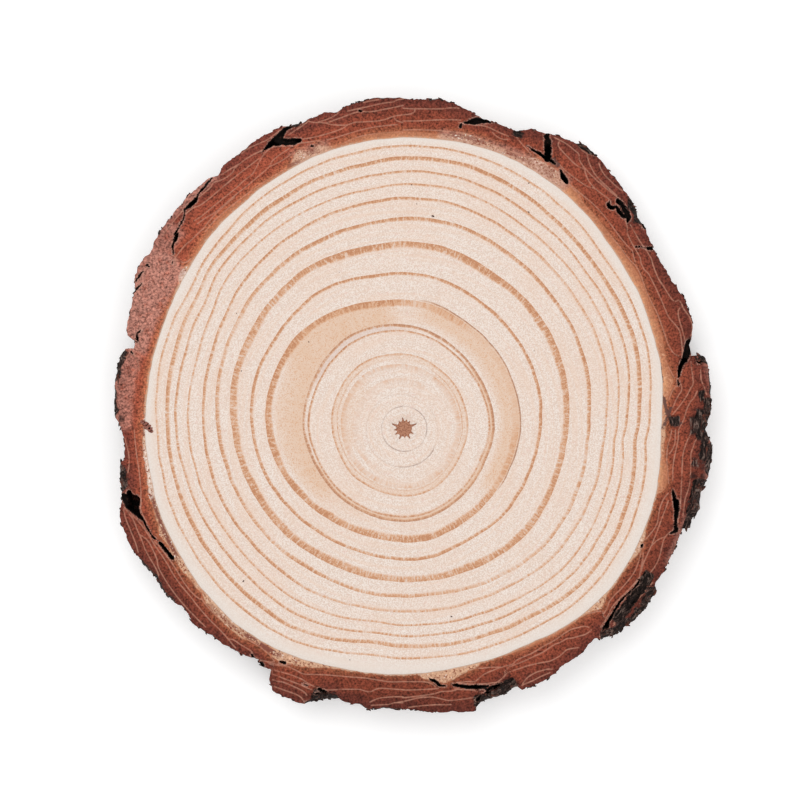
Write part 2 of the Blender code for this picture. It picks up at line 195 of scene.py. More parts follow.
# Dark resin specks on the wood: angle, radius and half length.
SPECKS = (
    (63, 44.3, 0.20), (82, 34.5, 0.30), (60, 40.2, 0.20), (223.5, 35.2, 0.26), (284.5, 30.9, 0.22),
    (137, 20.6, 0.16), (160, 27.5, 0.14), (88, 39.2, 0.16), (86.5, 36.2, 0.13), (257, 37.8, 0.12),
    (145, 32.5, 0.12), (31, 24.5, 0.10), (196, 23.0, 0.10), (341, 33.8, 0.11), (112, 27.2, 0.10),
)
SPECK_HEIGHT = 0.05

# A chip of bark on the wood's edge, made of lumps: angle, radius and half length.
CHIP = (
    (178.3, 41.6, 0.50), (178.8, 41.25, 0.62), (179.4, 40.85, 0.66), (180.0, 40.5, 0.55),
    (180.4, 40.2, 0.36),
)
CHIP_HEIGHT = 0.2

# The bark's ragged outline as seen from above: angle and radius.
OUTLINE = (
    (0, 48.5), (2, 49.0), (4, 49.6), (6, 49.6), (8, 49.9), (13.4, 49.9), (14.0, 49.6),
    (14.4, 47.7), (16.5, 47.9), (18, 48.8), (20, 49.3), (24, 49.75), (30, 49.2),
    (34, 49.3), (38, 49.9), (40, 50.6), (42, 50.7), (44, 51.7), (48, 52.3),
    (56, 53.9), (57.4, 54.4), (59, 53.6), (63, 53.0), (65, 52.5), (67, 52.4),
    (69, 51.1), (76, 51.5), (78.5, 52.3), (81, 52.8), (84, 53.45), (86, 53.0),
    (88, 53.0), (92, 53.3), (95, 53.4), (98, 53.0), (100, 52.8), (101.5, 51.9),
    (104, 52.3), (108, 51.8), (113, 52.3), (117, 52.0), (120, 51.5), (124, 51.2),
    (126, 50.4), (128, 50.9), (132, 50.9), (138, 50.4), (142, 50.1), (145, 49.4),
    (146, 49.8), (150, 49.6), (152.3, 48.5), (156, 47.7), (160, 47.2), (161.2, 46.6),
    (161.7, 45.1), (163.2, 45.0), (163.7, 46.4), (166, 46.9), (170, 46.8), (174, 46.6),
    (177.5, 46.2), (178.8, 45.4), (182, 44.6), (186, 44.8), (186.8, 45.8), (194, 46.4),
    (197.2, 47.5), (200, 47.5), (204, 47.4), (207, 46.9), (211, 46.1), (214, 46.4),
    (217.4, 46.0), (218.5, 45.3), (220, 45.3), (223, 45.8), (227, 45.1), (231, 44.8),
    (235, 44.2), (237.8, 43.4), (239, 44.2), (241.2, 43.8), (241.8, 45.4), (243.5, 46.8),
    (250, 46.8), (252, 45.8), (254, 45.0), (256.5, 44.3), (258, 44.6), (261, 44.5),
    (262.8, 45.3), (266, 44.8), (272, 44.8), (276, 45.6), (280, 45.8), (284, 46.6),
    (285.2, 45.8), (287, 45.3), (290, 45.4), (294, 45.0), (294.5, 45.8), (298, 46.1),
    (302, 46.1), (304, 45.6), (308, 45.8), (312.8, 45.4), (313.3, 46.2), (316, 47.2),
    (320, 48.0), (324, 48.35), (327.8, 48.0), (328.5, 47.3), (331, 47.5), (340.6, 47.5),
    (341, 48.6), (343, 48.5), (345, 49.3), (348, 48.8), (351, 49.4), (354, 49.8),
    (357, 49.8), (358.5, 49.1),
)
# The edge crumbles inwards by up to the first, and lies outwards by the second to make up for it.
OUTLINE_CRUMBLE = 0.30
OUTLINE_RAISE = 0.18

# Where the weathered outer bark reaches past the sawn edge: from, to, and how far.
SKIRTS = (
    (-18, -9, 1.6), (-9, -2, 1.2), (-2, 5.5, 1.3), (5.5, 12, 0.35), (12, 14.6, 1.5), (40.5, 46.5, 1.2),
    (56, 59, 0.5), (83, 86, 0.5), (90, 101, 0.25), (108, 111, 0.7), (163.5, 171, 1.0), (171, 178, 0.5),
    (186.5, 193, 1.4), (205, 218, 0.5), (222, 236, 0.2), (250.5, 257, 1.3), (260, 270, 0.3),
    (285.4, 294, 1.5), (313, 328.6, 1.5),
)

# Cracks in the sawn bark: angle, radius and half width along each.
CRACKS = (
    ((17.3, 47.95, 0.30), (16.2, 47.5, 0.5), (14.9, 46.95, 0.55), (13.9, 46.45, 0.42),
     (13.4, 46.0, 0.25), (13, 45.6, 0.2), (12, 45.2, 0.2), (11, 44.95, 0.08)),
    ((10.2, 44.7, 0.10), (9.4, 44.65, 0.14)),
    ((13.6, 49.2, 0.30), (12.9, 48.6, 0.25)),
    ((36.0, 49.7, 0.14), (36.4, 48.9, 0.2), (37, 48.4, 0.08), (37.6, 48.1, 0.12), (38, 47.6, 0.16),
     (38.2, 47.3, 0.08)),
    ((47.9, 49.3, 0.12), (47.6, 48.75, 0.28), (46.9, 48.75, 0.25), (46.4, 49.2, 0.15)),
    ((46.3, 49.45, 0.15), (45, 49.15, 0.28), (43.7, 49.2, 0.2)),
    ((46.8, 50.25, 0.33), (45.6, 50.2, 0.38), (44.4, 50.0, 0.42), (43.3, 49.6, 0.33),
     (42.9, 49.0, 0.12)),
    ((45.2, 51.6, 0.2), (44.2, 51.4, 0.33), (43.3, 51.0, 0.33), (42.4, 50.7, 0.25), (41, 50.55, 0.22),
     (39.8, 50.4, 0.15)),
    ((66.2, 49.6, 0.06), (65, 49.4, 0.12), (63.6, 49.3, 0.18), (62.2, 49.1, 0.3)),
    ((63.9, 52.4, 0.40), (63.1, 51.3, 0.5), (62.6, 50.4, 0.52), (62.2, 49.7, 0.52), (61.9, 49.1, 0.4)),
    ((61.3, 49.2, 0.16), (60.3, 49.0, 0.08)),
    ((58.9, 48.7, 0.08), (58.2, 48.3, 0.25), (57.3, 47.8, 0.4), (56.5, 47.5, 0.3)),
    ((73.6, 51.4, 0.06), (74.6, 51.2, 0.22), (76, 50.9, 0.42), (77.2, 50.6, 0.42), (78.2, 50.2, 0.15),
     (78.7, 50.05, 0.06)),
    ((79.2, 49.8, 0.05), (79.3, 49.3, 0.07)),
    ((97.8, 51.55, 0.06), (97.5, 51.4, 0.06)),
    ((108.2, 51.8, 0.15), (110.8, 51.7, 0.25), (112.2, 51.3, 0.35), (113.2, 50.6, 0.55),
     (114.6, 50.5, 0.4), (116.2, 50.0, 0.12), (117, 49.85, 0.04)),
    ((114, 50.2, 0.35), (112.5, 49.9, 0.45), (111, 49.4, 0.45), (109.6, 49.2, 0.25)),
    ((127.2, 50.6, 0.12), (128.3, 50.35, 0.12), (129.8, 50.1, 0.1), (131.2, 49.85, 0.1),
     (132, 49.6, 0.22), (133.2, 49.5, 0.25), (134.6, 49.6, 0.18), (135.2, 49.25, 0.09),
     (136.4, 48.65, 0.08), (138, 48.35, 0.12), (139.3, 48.15, 0.12)),
    ((139, 47.85, 0.08), (139.9, 47.6, 0.2), (140.7, 47.4, 0.08), (141.5, 47.2, 0.05), (142, 46.7, 0.1),
     (142.6, 46.3, 0.05)),
    ((143.8, 45.7, 0.06), (144.1, 45.5, 0.06)),
    ((147.2, 48.7, 0.12), (147.3, 48.3, 0.12)),
    ((148.7, 48.75, 0.06), (149.8, 48.85, 0.1), (150.9, 48.95, 0.1)),
    ((150.8, 47.9, 0.05), (152, 48.2, 0.1), (152.9, 48.4, 0.12)),
    ((161.6, 44.9, 0.12), (160.8, 45.1, 0.2), (160.2, 45.3, 0.12), (159.2, 44.9, 0.07)),
    ((164, 45.3, 0.12), (164.2, 44.95, 0.06)),
    ((107.9, 47.7, 0.10), (107.6, 47.65, 0.10)),
    ((199, 44.15, 0.2), (197.6, 44.55, 0.45), (196.2, 44.8, 0.75), (194.95, 44.6, 1.0),
     (194.6, 44.1, 0.5)),
    ((196.6, 45.1, 0.35), (195, 45.4, 0.65), (193.6, 45.85, 0.4), (193.1, 46.2, 0.15)),
    ((194.4, 44.9, 0.7), (193.4, 44.95, 0.45), (192.6, 45.0, 0.2)),
    ((198.0, 44.35, 0.26), (199.0, 44.1, 0.18), (200.4, 43.9, 0.12), (202, 43.75, 0.07),
     (203.4, 43.5, 0.10), (204.4, 43.0, 0.05)),
    ((205, 42.9, 0.14), (206.4, 42.65, 0.2), (208, 42.45, 0.22), (209.2, 42.25, 0.15)),
    ((237, 43.7, 0.12), (236.4, 43.5, 0.13), (236, 43.3, 0.06)),
    ((239.2, 43.9, 0.18), (238.6, 43.7, 0.13)),
    ((242, 42.05, 0.08), (242.8, 41.85, 0.16), (243.3, 41.75, 0.06)),
    ((248.6, 43.7, 0.07), (249.5, 43.75, 0.05)),
    ((250.6, 46.4, 0.25), (251.4, 46.0, 0.25)),
    ((251.8, 44.6, 0.18), (252.6, 44.4, 0.22)),
    ((252, 43.6, 0.1), (252.8, 43.75, 0.25), (253.6, 44.1, 0.35), (254.6, 44.3, 0.3),
     (256, 44.4, 0.12)),
    ((279.4, 41.5, 0.06), (278.2, 41.35, 0.08), (277.7, 40.9, 0.12), (277.1, 40.5, 0.18),
     (276.2, 40.25, 0.13)),
    ((293.4, 45.0, 0.12), (291.5, 44.8, 0.3), (289.5, 44.5, 0.5), (287.5, 44.6, 0.55),
     (285.6, 44.9, 0.35)),
    ((291, 43.9, 0.18), (289.6, 43.7, 0.28), (288.2, 43.9, 0.32)),
    ((288.4, 43.2, 0.1), (286.6, 43.0, 0.25), (284.8, 42.6, 0.2), (283, 42.2, 0.25), (281.7, 41.8, 0.2),
     (281.1, 41.6, 0.06)),
    ((314, 46.1, 0.42), (315.2, 45.6, 0.45), (316.2, 45.3, 0.35), (317, 44.95, 0.18),
     (318.5, 44.75, 0.09), (320.2, 44.5, 0.09), (322.4, 44.35, 0.09), (325, 44.75, 0.07),
     (327, 44.95, 0.11), (327.7, 44.7, 0.08)),
    ((347.3, 44.3, 0.08), (345.9, 44.7, 0.25), (345, 45.3, 0.45), (343.8, 45.65, 0.35),
     (342.1, 45.9, 0.2), (340.4, 46.3, 0.2), (339.8, 46.7, 0.2), (339.3, 46.3, 0.1),
     (338.9, 46.0, 0.05)),
    ((333.8, 42.5, 0.14), (334.3, 42.45, 0.14)),
    ((358.0, 40.95, 0.1), (358.4, 40.9, 0.12)),
)
# Dark smears at the cambium, given like the cracks.
SMEARS = (
    ((14.4, 42.5, 0.04), (10.4, 42.2, 0.08)),
    ((7.2, 42.0, 0.15), (4.6, 42.3, 0.2), (2.6, 42.3, 0.2), (0.6, 41.6, 0.15)),
    ((4.6, 43.0, 0.15), (3.2, 42.6, 0.2), (1.7, 42.9, 0.2), (1.0, 43.7, 0.2), (1.4, 44.5, 0.12)),
    ((62.4, 48.95, 0.2), (61, 49.25, 0.35), (59.6, 49.1, 0.25)),
)
# How deep a crack is inside the bark and near its wall, and how ragged its edges are.
CRACK_DEPTH = 5.0
RIM_CRACK_DEPTH = 1.2
CRACK_RAGGED = 0.09

# Pale lines between the scales of the sawn bark: angle and radius along each.
SCALE_LINES = (
    ((90, 47.96), (85, 48.15), (80, 48.35), (78, 48.45), (75, 48.2), (72, 47.9), (69, 47.75),
     (67, 47.9), (65.4, 48.1), (64.9, 48.5), (65.8, 48.9), (67.5, 49.6), (69, 50.4), (69.6, 51.1)),
    ((90, 49.4), (87, 49.5), (84, 49.85), (82, 50.1), (80.5, 50.3), (79.4, 50.4)),
    ((90, 51.45), (88, 51.4), (85, 51.55), (83, 51.75), (81.5, 52.1), (80, 52.25)),
    ((88, 51.35), (87.9, 51.0), (88.6, 50.55), (90, 50.4), (91.7, 50.2), (93.5, 49.7), (95.5, 49.6),
     (97.5, 49.7), (98.9, 49.8), (100.4, 49.6), (101.8, 49.8), (103.3, 50.2), (104.1, 50.6),
     (105.6, 51.05)),
    ((79.8, 49.95), (77, 50.1), (75.4, 50.3), (74, 50.3), (72.5, 50.05), (70.2, 49.9)),
    ((73.3, 49.75), (72.6, 49.4), (71.8, 49.2), (70.8, 49.2), (70, 49.5)),
    ((61.6, 52.5), (61.3, 51.8), (60, 51.3), (58.6, 50.95), (57.4, 50.7), (56, 50.65), (55.1, 50.9)),
    ((62.6, 52.7), (60, 52.7), (58.6, 52.5), (57.5, 52.35), (56.8, 51.6), (55.7, 51.1), (54.5, 50.86),
     (52.5, 50.57), (50, 50.5), (47.3, 50.6)),
    ((56.2, 53.0), (55.4, 52.3), (54.4, 51.7), (53, 51.15), (51, 50.85), (47.5, 50.75)),
    ((53.7, 52.95), (52.8, 52.4), (51.6, 52.0), (50.2, 51.87), (48.7, 51.8), (47.3, 51.95)),
    ((58.2, 53.4), (57, 53.1), (55.6, 53.3), (54.8, 53.6)),
    ((55, 50.7), (54, 50.05), (52.8, 49.55), (51.2, 49.35), (49.6, 49.4), (48.2, 49.5)),
    ((60.2, 49.45), (58.2, 49.0), (56.5, 48.83), (55, 48.76), (53.5, 48.8), (52.4, 48.97),
     (51.6, 49.3)),
    ((56, 47.45), (53, 47.3), (49, 47.2), (45, 46.8), (43, 46.57), (41, 46.43), (39, 46.45),
     (38, 46.57), (37, 46.2), (35.8, 45.85)),
    ((55.6, 47.2), (53.4, 47.0), (52.4, 46.6), (51.2, 46.2), (49, 46.0), (45, 45.6), (40, 45.4),
     (37, 45.34), (35.2, 45.56), (33.5, 45.45), (31.2, 45.05), (29.4, 44.8), (27, 44.7), (25, 44.76),
     (20.5, 44.6), (18, 44.6), (16.2, 44.88), (15.4, 45.27), (15, 45.7)),
    ((43.2, 48.9), (42, 48.3), (41.2, 47.73), (40.1, 47.44), (38.4, 47.15), (36, 46.9), (35, 46.5),
     (33.5, 46.35), (32.5, 46.55), (30.5, 46.45), (27.5, 46.3), (25, 46.2), (23, 46.2), (21.8, 46.5),
     (20.8, 46.8), (19.8, 47.0), (18.5, 46.9), (16, 46.5), (14, 46.0)),
    ((42.1, 49.0), (40.1, 48.67), (38.4, 48.45), (34.9, 48.3), (33.5, 47.95), (32, 47.66), (30.6, 47.5),
     (28.8, 47.6), (27.1, 47.7), (25.7, 47.9), (25.2, 48.3), (25.1, 48.8), (24, 48.95)),
    ((23.9, 48.9), (23.7, 48.3), (22.9, 47.8), (21.2, 47.55), (19.2, 47.45), (17.4, 47.35)),
    ((23.9, 48.85), (22.8, 49.0), (22, 49.2), (20.6, 49.3), (19.2, 49.05), (18, 48.5)),
    ((10.7, 44.26), (11.8, 43.97), (13.3, 43.68), (15, 43.5), (18, 43.4)),
    ((13.3, 47.37), (11.8, 47.2), (10.4, 47.15), (8.9, 47.0), (8.2, 46.5), (6.9, 45.8), (5.8, 45.05),
     (4.6, 44.2), (3.2, 43.2)),
    ((7.5, 47.5), (6.35, 46.9), (5.5, 46.2), (4.0, 45.5), (2.3, 45.05), (1.2, 44.6), (0, 44.15),
     (-1.7, 44.1), (-3.5, 43.9), (-5.2, 43.7), (-7.2, 43.6), (-8.9, 43.7), (-10.7, 43.95)),
    ((9.5, 45.1), (8.1, 45.05), (7.2, 44.5), (6.1, 43.9), (4.6, 43.3)),
    ((9.2, 44.5), (8.7, 43.9), (7.5, 43.2), (6.4, 42.8)),
    ((11.5, 48.6), (9.5, 48.4), (8, 48.7), (6.5, 48.9)),
    ((90, 52.95), (91, 52.8), (91.7, 52.5), (93.5, 52.36), (95, 52.15), (97, 51.95), (100, 51.75)),
    ((93.4, 53.3), (94.2, 53.0), (95.5, 52.9), (97, 52.75)),
    ((90, 51.9), (91.7, 51.6), (93.2, 51.4), (94.9, 51.2), (96.3, 51.2), (97.8, 51.4), (99.5, 51.2),
     (101.3, 50.9), (103, 50.7), (104.1, 50.6)),
    ((101.3, 51.9), (102.1, 51.5), (103.3, 51.2), (104.7, 51.1), (105.8, 51.1), (106.6, 51.4),
     (107.3, 51.8)),
    ((91.7, 50.1), (91.2, 49.5), (90, 49.15)),
    ((109, 49.2), (107.6, 49.0), (106.2, 48.9), (104.4, 48.9), (102.7, 49.0), (101.3, 49.2),
     (100.4, 49.55)),
    ((104.7, 48.0), (103.3, 47.95), (100.4, 48.2), (97.5, 48.5), (94.6, 48.7), (91, 48.85)),
    ((105.1, 46.8), (103.6, 46.6), (101.8, 46.8), (100, 47.2), (97.5, 47.5), (94, 47.6), (90, 47.65)),
    ((111.2, 50.65), (109.9, 50.9), (108.5, 51.2), (107.3, 51.55)),
    ((111.6, 48.75), (110.4, 48.85), (108.5, 48.5), (106.4, 48.2), (105.4, 47.6), (105.0, 46.9)),
    ((135, 49.0), (133.3, 48.87), (132.4, 48.5), (130.7, 48.3), (128.4, 48.3), (124.9, 48.5),
     (122, 48.7), (120, 48.9), (118, 49.15)),
    ((135, 47.3), (133.3, 47.0), (130.7, 46.9), (127.8, 46.9), (124.9, 47.0), (122.6, 47.3),
     (120.6, 47.5), (119.4, 48.0), (118, 48.8), (116.5, 49.5), (114.8, 49.86), (113.7, 49.66),
     (112.4, 49.0)),
    ((135, 46.6), (132.7, 46.3), (130.7, 46.0), (128.4, 46.0), (124.9, 46.2), (122, 46.4),
     (119.1, 46.8), (117.1, 47.2), (116, 47.8), (114.8, 48.1), (113.1, 48.4), (111.9, 48.6)),
    ((135, 45.3), (132.7, 45.6), (130.1, 45.8), (126, 45.95)),
    ((117.1, 47.2), (114.8, 47.2), (113.1, 47.4), (112.2, 47.6)),
    ((135, 44.8), (132, 45.05), (125, 45.2), (120.6, 45.4), (115, 45.7), (113, 46.0)),
    ((131.2, 49.5), (129.3, 49.5), (128.4, 49.55), (127.5, 49.85), (126.3, 49.5), (124.9, 49.3),
     (123.5, 49.4), (122.6, 49.8), (120, 50.1), (116.6, 50.1)),
    ((125.5, 50.1), (123.5, 50.05), (121.7, 49.95)),
    ((120.3, 51.2), (118.8, 51.4), (117.1, 51.3), (115.1, 51.25), (113.7, 51.5), (112.5, 51.8)),
    ((135, 45.4), (138.2, 45.5), (139.6, 45.7), (142, 45.7), (143.1, 45.6), (143, 45.0), (142.8, 44.3),
     (142.2, 43.8), (141, 43.6)),
    ((144.8, 44.55), (143.9, 45.1), (143.2, 45.6), (142.4, 46.4), (141.2, 47.3)),
    ((135, 49.75), (138, 49.6), (141, 49.5)),
    ((167.5, 43.2), (166.2, 43.6), (165.3, 44.0), (164.6, 44.6), (164.2, 45.0)),
    ((169.5, 46.3), (167.8, 46.2), (166.2, 46.2), (165.2, 45.8), (164.4, 45.5)),
    ((225, 44.65), (220.7, 44.8), (217, 44.95), (213, 45.0), (210, 44.95), (208.8, 44.8), (207.7, 44.5),
     (205.4, 44.4), (203.7, 44.5), (202.5, 44.9), (201.9, 45.25)),
    ((211.2, 46.0), (210.6, 45.5), (208.8, 45.35), (205.1, 45.5), (203.1, 45.4), (200.5, 45.45),
     (198.5, 45.5), (197.3, 45.8), (195.4, 46.35)),
    ((204.8, 46.7), (203.1, 46.5), (200.5, 46.5), (197.6, 46.6), (195.8, 46.5)),
    ((225, 43.4), (220, 43.3), (217.8, 43.25), (214.9, 43.4), (212, 43.45), (210, 43.4), (207.7, 43.5),
     (205.1, 43.8), (203.1, 44.0), (200.6, 44.4), (198.6, 45.0), (197.4, 45.5)),
    ((220.1, 41.9), (219.8, 42.3), (219, 42.5), (217.5, 42.68), (214.9, 42.75), (212.3, 42.66),
     (210, 42.7), (207.7, 42.95), (205.6, 43.25), (204.2, 43.6)),
    ((225, 42.2), (222, 42.2), (220.2, 42.1)),
    ((200.1, 43.55), (198.5, 43.8), (196.7, 43.85), (195.6, 43.5), (194.5, 43.35), (193.3, 43.1),
     (191.3, 42.9), (188.9, 42.75), (186.1, 42.8), (180, 43.0)),
    ((188.9, 44.6), (187.8, 44.3), (186.3, 44.1), (184.6, 44.1), (183.2, 44.3), (181.7, 44.6)),
    ((192.7, 44.5), (191.6, 45.0), (190.8, 44.9), (188.8, 44.9)),
    ((270, 43.7), (268.3, 43.7), (267.1, 44.0), (265.1, 44.2), (263.4, 44.4)),
    ((270, 42.75), (268.3, 42.75), (266.5, 42.9), (265.1, 43.1), (263.9, 43.5), (263.1, 43.9)),
    ((270, 41.6), (265.7, 41.5), (264.2, 41.7), (263.1, 42.2), (262.2, 42.3), (260.5, 42.15),
     (258.5, 42.4), (256.4, 42.75), (255, 43.1), (253.6, 43.4), (252.1, 43.5), (249.8, 43.4),
     (248.1, 43.1), (246.1, 43.1), (244, 43.3), (240.9, 43.8)),
    ((270, 40.3), (267.1, 40.4), (264.2, 40.25), (261.3, 40.2), (258.5, 40.4), (255.6, 40.7),
     (253.3, 41.0), (251.2, 41.4), (249.5, 41.8), (247.8, 42.2), (246.1, 42.15), (244.6, 42.1),
     (243.5, 42.3), (242, 42.7), (240.4, 43.2)),
    ((249.8, 46.2), (249, 45.8), (247.2, 45.7), (243, 46.0)),
    ((250.1, 45.25), (249.5, 44.9), (248.1, 44.7), (244.9, 44.7), (243.5, 45.0), (242.3, 45.15)),
    ((252.1, 44.1), (249.8, 44.1), (247.8, 44.0), (243.5, 44.2), (241.4, 44.4)),
    ((225, 43.4), (227.3, 43.4), (229.9, 43.6), (231.6, 43.9), (232.5, 44.0)),
    ((236.4, 43.7), (236, 43.1), (235.2, 42.95), (232.8, 43.1), (231.1, 43.2), (230.4, 43.5),
     (229.8, 43.65)),
    ((240.9, 42.35), (239.4, 41.9), (238, 41.7), (236.3, 41.6), (234.5, 41.7), (233.1, 41.85),
     (232.5, 42.2), (231, 42.1), (225, 42.15)),
    ((240.9, 42.4), (240.3, 42.8), (238.8, 43.2), (237.4, 43.4), (236.4, 43.5)),
    ((240, 43.1), (241.2, 42.7), (242.3, 42.4), (243.5, 42.0), (244.6, 41.6)),
    ((313.3, 44.0), (311.8, 43.9), (310.7, 43.5), (309.2, 43.0), (308.1, 42.5), (306.3, 42.3),
     (304.9, 42.05), (302, 42.05), (300, 41.9), (297.7, 41.8), (295.1, 41.65), (293.7, 41.7),
     (292.8, 42.0), (292.6, 42.4)),
    ((308.9, 44.8), (307.8, 44.3), (306.6, 43.9), (304.9, 44.05), (302.6, 43.9), (301.2, 43.5),
     (299.7, 43.1), (298, 42.75), (296.3, 42.55), (294.2, 42.36), (293.1, 42.4), (291.9, 42.8),
     (290.8, 43.05)),
    ((313.3, 43.5), (312.7, 42.8), (311.3, 42.2), (310.1, 41.8), (308.4, 41.6), (305.5, 41.5),
     (302.6, 41.3), (300, 41.3), (296.5, 41.1), (295.1, 41.4), (293.1, 41.2), (291.1, 41.1),
     (288.5, 41.2), (287.3, 41.5), (285.9, 41.9), (284.4, 41.6), (282, 41.35)),
    ((292.4, 41.1), (291.3, 40.8), (290.2, 40.5), (288.5, 40.25), (287.5, 40.0)),
    ((302, 45.2), (301.2, 44.8), (300, 44.5), (298.8, 44.3), (297.4, 44.3), (296.3, 44.5),
     (295.1, 45.0)),
    ((301.2, 45.45), (299.4, 45.25), (297.1, 45.2), (294.8, 45.1)),
    ((291.6, 43.5), (290.2, 43.1), (288.4, 42.8), (286.2, 42.4), (283.6, 41.8), (282, 41.45)),
    ((287.4, 44.3), (286.2, 43.7), (285, 43.15), (283, 42.7), (281.2, 42.3)),
    ((286.2, 44.66), (284.4, 44.3), (280, 44.0), (278.4, 43.6), (276.6, 43.1), (274.6, 42.95),
     (273.2, 43.0), (271.2, 43.3), (268.6, 43.7)),
    ((281.5, 42.55), (280, 42.5), (278.4, 42.36), (276.6, 42.55), (273.2, 42.7), (270, 42.9)),
    ((280, 44.66), (278.4, 44.5), (276.4, 44.3), (272.9, 44.3), (271.2, 44.45)),
    ((277.8, 41.8), (274.6, 41.7), (270, 41.65)),
    ((277.2, 41.5), (276.6, 41.0), (275.5, 40.6), (273.8, 40.4), (270, 40.3)),
    ((360, 47.4), (358.6, 47.2), (357.7, 46.8), (356.5, 46.5), (355.1, 46.25), (353.4, 46.4),
     (349, 46.7), (346.2, 46.5), (342.7, 46.9)),
    ((360, 46.3), (358.8, 45.9), (357.7, 45.5), (356.5, 45.2), (355.1, 45.0), (353.4, 45.0),
     (349, 45.4), (345, 45.95), (342.7, 46.15), (341.2, 46.45)),
    ((360, 43.6), (358.3, 43.6), (356.8, 43.5), (355.7, 43.2), (354.8, 42.8)),
    ((360, 43.0), (358.3, 42.8), (356.8, 42.5), (355.1, 42.4), (353.4, 42.5), (351.6, 42.8),
     (348.5, 43.4)),
    ((346.6, 43.7), (345.9, 43.4), (344.7, 43.1), (342.7, 43.0), (340.4, 43.3), (338.9, 43.3),
     (336.9, 42.9), (335.6, 42.6)),
    ((345, 43.95), (341.3, 43.8), (337.5, 43.8), (333.5, 43.9), (331.2, 44.0), (330, 44.2),
     (329.2, 44.4)),
    ((339.2, 45.9), (338.4, 45.5), (337.2, 45.3), (335.5, 45.5), (333.8, 45.8), (332.3, 45.9),
     (330.6, 45.8), (328.8, 45.5), (328, 45.2)),
    ((337.9, 45.4), (337.2, 44.8), (336.3, 44.3), (335, 43.9)),
    ((332.9, 43.2), (331.2, 43.7), (329.7, 44.1), (328.6, 44.4), (327.9, 44.8)),
    ((332.9, 42.8), (331.4, 43.1), (329.4, 43.4), (327.4, 43.45), (323.9, 43.2), (322.2, 43.0),
     (320.2, 43.0), (318.8, 43.4), (317.3, 43.6)),
    ((327.7, 44.6), (325, 44.3), (323.4, 44.1), (321.6, 43.9), (319.6, 43.9), (318.2, 44.2),
     (315, 44.7)),
    ((316.9, 44.5), (317.1, 43.8), (317.6, 43.2), (317, 42.6), (315.9, 42.1), (315, 41.7)),
    ((328.6, 46.85), (325.4, 46.5), (322.5, 46.25), (319.6, 46.05), (317, 46.0)),
    ((328.4, 46.7), (325.4, 46.35), (322.5, 46.12), (319.6, 45.9), (317.4, 45.8)),
)
# Distances to lines and cracks are worked out up to this one.
SEAM_REACH = 1.2

# The pale layer between wood and bark: angle, thickness, and from 0 for orange to 1 for pale fibres.
CAMBIUM = (
    (0, 0.75, 0.5), (5, 0.7, 0.2), (7, 0.9, 0.1), (8.7, 1.6, 0.1), (10.4, 1.8, 0.1), (12, 1.4, 0.1),
    (15, 1.0, 0.1), (17, 1.1, 0.1), (20, 1.4, 0.0), (25, 1.2, 0.0), (30, 1.2, 0.0), (35, 1.5, 0.0),
    (37, 1.2, 0.0), (40, 1.1, 0.0), (45, 0.95, 0.0), (51, 0.9, 0.0), (53.5, 1.4, 0.0),
    (56.5, 1.4, 0.15), (58, 2.0, 0.8), (60, 2.2, 1.0), (64, 2.0, 1.0), (65.5, 1.3, 1.0),
    (67.5, 0.9, 0.8), (70, 0.9, 0.8), (74, 1.2, 0.85), (78, 1.5, 0.9), (81, 1.1, 0.7), (84, 0.9, 0.15),
    (90, 1.0, 0.0), (95, 1.0, 0.0), (100, 0.8, 0.0), (103, 0.5, 0.0), (104.8, 0.8, 0.4),
    (106.5, 1.6, 1.0), (108, 1.1, 0.8), (110.5, 2.1, 1.0), (111.6, 1.7, 0.9), (112.9, 0.8, 0.3),
    (115, 0.4, 0.0), (125, 0.6, 0.0), (130, 0.8, 0.0), (135, 0.8, 0.0), (140, 0.5, 0.1),
    (142.6, 0.6, 0.3), (144, 0.95, 1.3), (145.6, 0.9, 1.3), (147.3, 0.3, 0.8), (150, 0.35, 0.1),
    (158, 0.3, 0.4), (165, 0.3, 0.4), (172, 0.25, 0.6), (179, 0.3, 0.9), (185, 0.5, 1.3),
    (190, 0.6, 1.3), (195, 0.95, 1.3), (196.5, 0.8, 0.6), (201, 0.9, 0.5), (203.5, 1.4, 0.9),
    (206, 1.0, 0.6), (211, 1.1, 0.8), (214, 0.8, 0.6), (219, 0.5, 0.3), (221, 1.1, 0.9),
    (230, 1.2, 0.9), (232.5, 1.3, 0.7), (235, 0.8, 0.5), (238.5, 0.9, 0.3), (241, 1.6, 0.9),
    (243, 1.6, 0.9), (246, 1.2, 0.8), (249.5, 0.9, 0.8), (252, 0.4, 0.7), (256, 0.2, 0.5),
    (265, 0.12, 0.4), (273.6, 0.2, 0.6), (274.6, 0.9, 0.8), (277, 1.4, 0.8), (279.4, 2.0, 0.8),
    (281.5, 1.7, 0.7), (284, 1.1, 0.7), (287.2, 0.8, 0.8), (288.4, 0.25, 0.4), (293, 0.2, 0.2),
    (300, 0.6, 0.1), (308, 0.5, 0.1), (314, 0.25, 0.3), (316.6, 0.8, 0.6), (318, 1.3, 0.8),
    (319.8, 0.8, 0.8), (321, 0.3, 0.6), (326, 0.15, 0.5), (330.5, 0.35, 0.7), (333, 0.85, 1.0),
    (336.4, 0.6, 1.0), (337.6, 0.2, 0.8), (341, 0.1, 0.6), (345.6, 0.15, 0.5), (347.2, 1.3, 0.1),
    (349.5, 1.5, 0.0), (352, 1.2, 0.0), (353.6, 0.7, 0.1), (357, 0.55, 0.5),
)

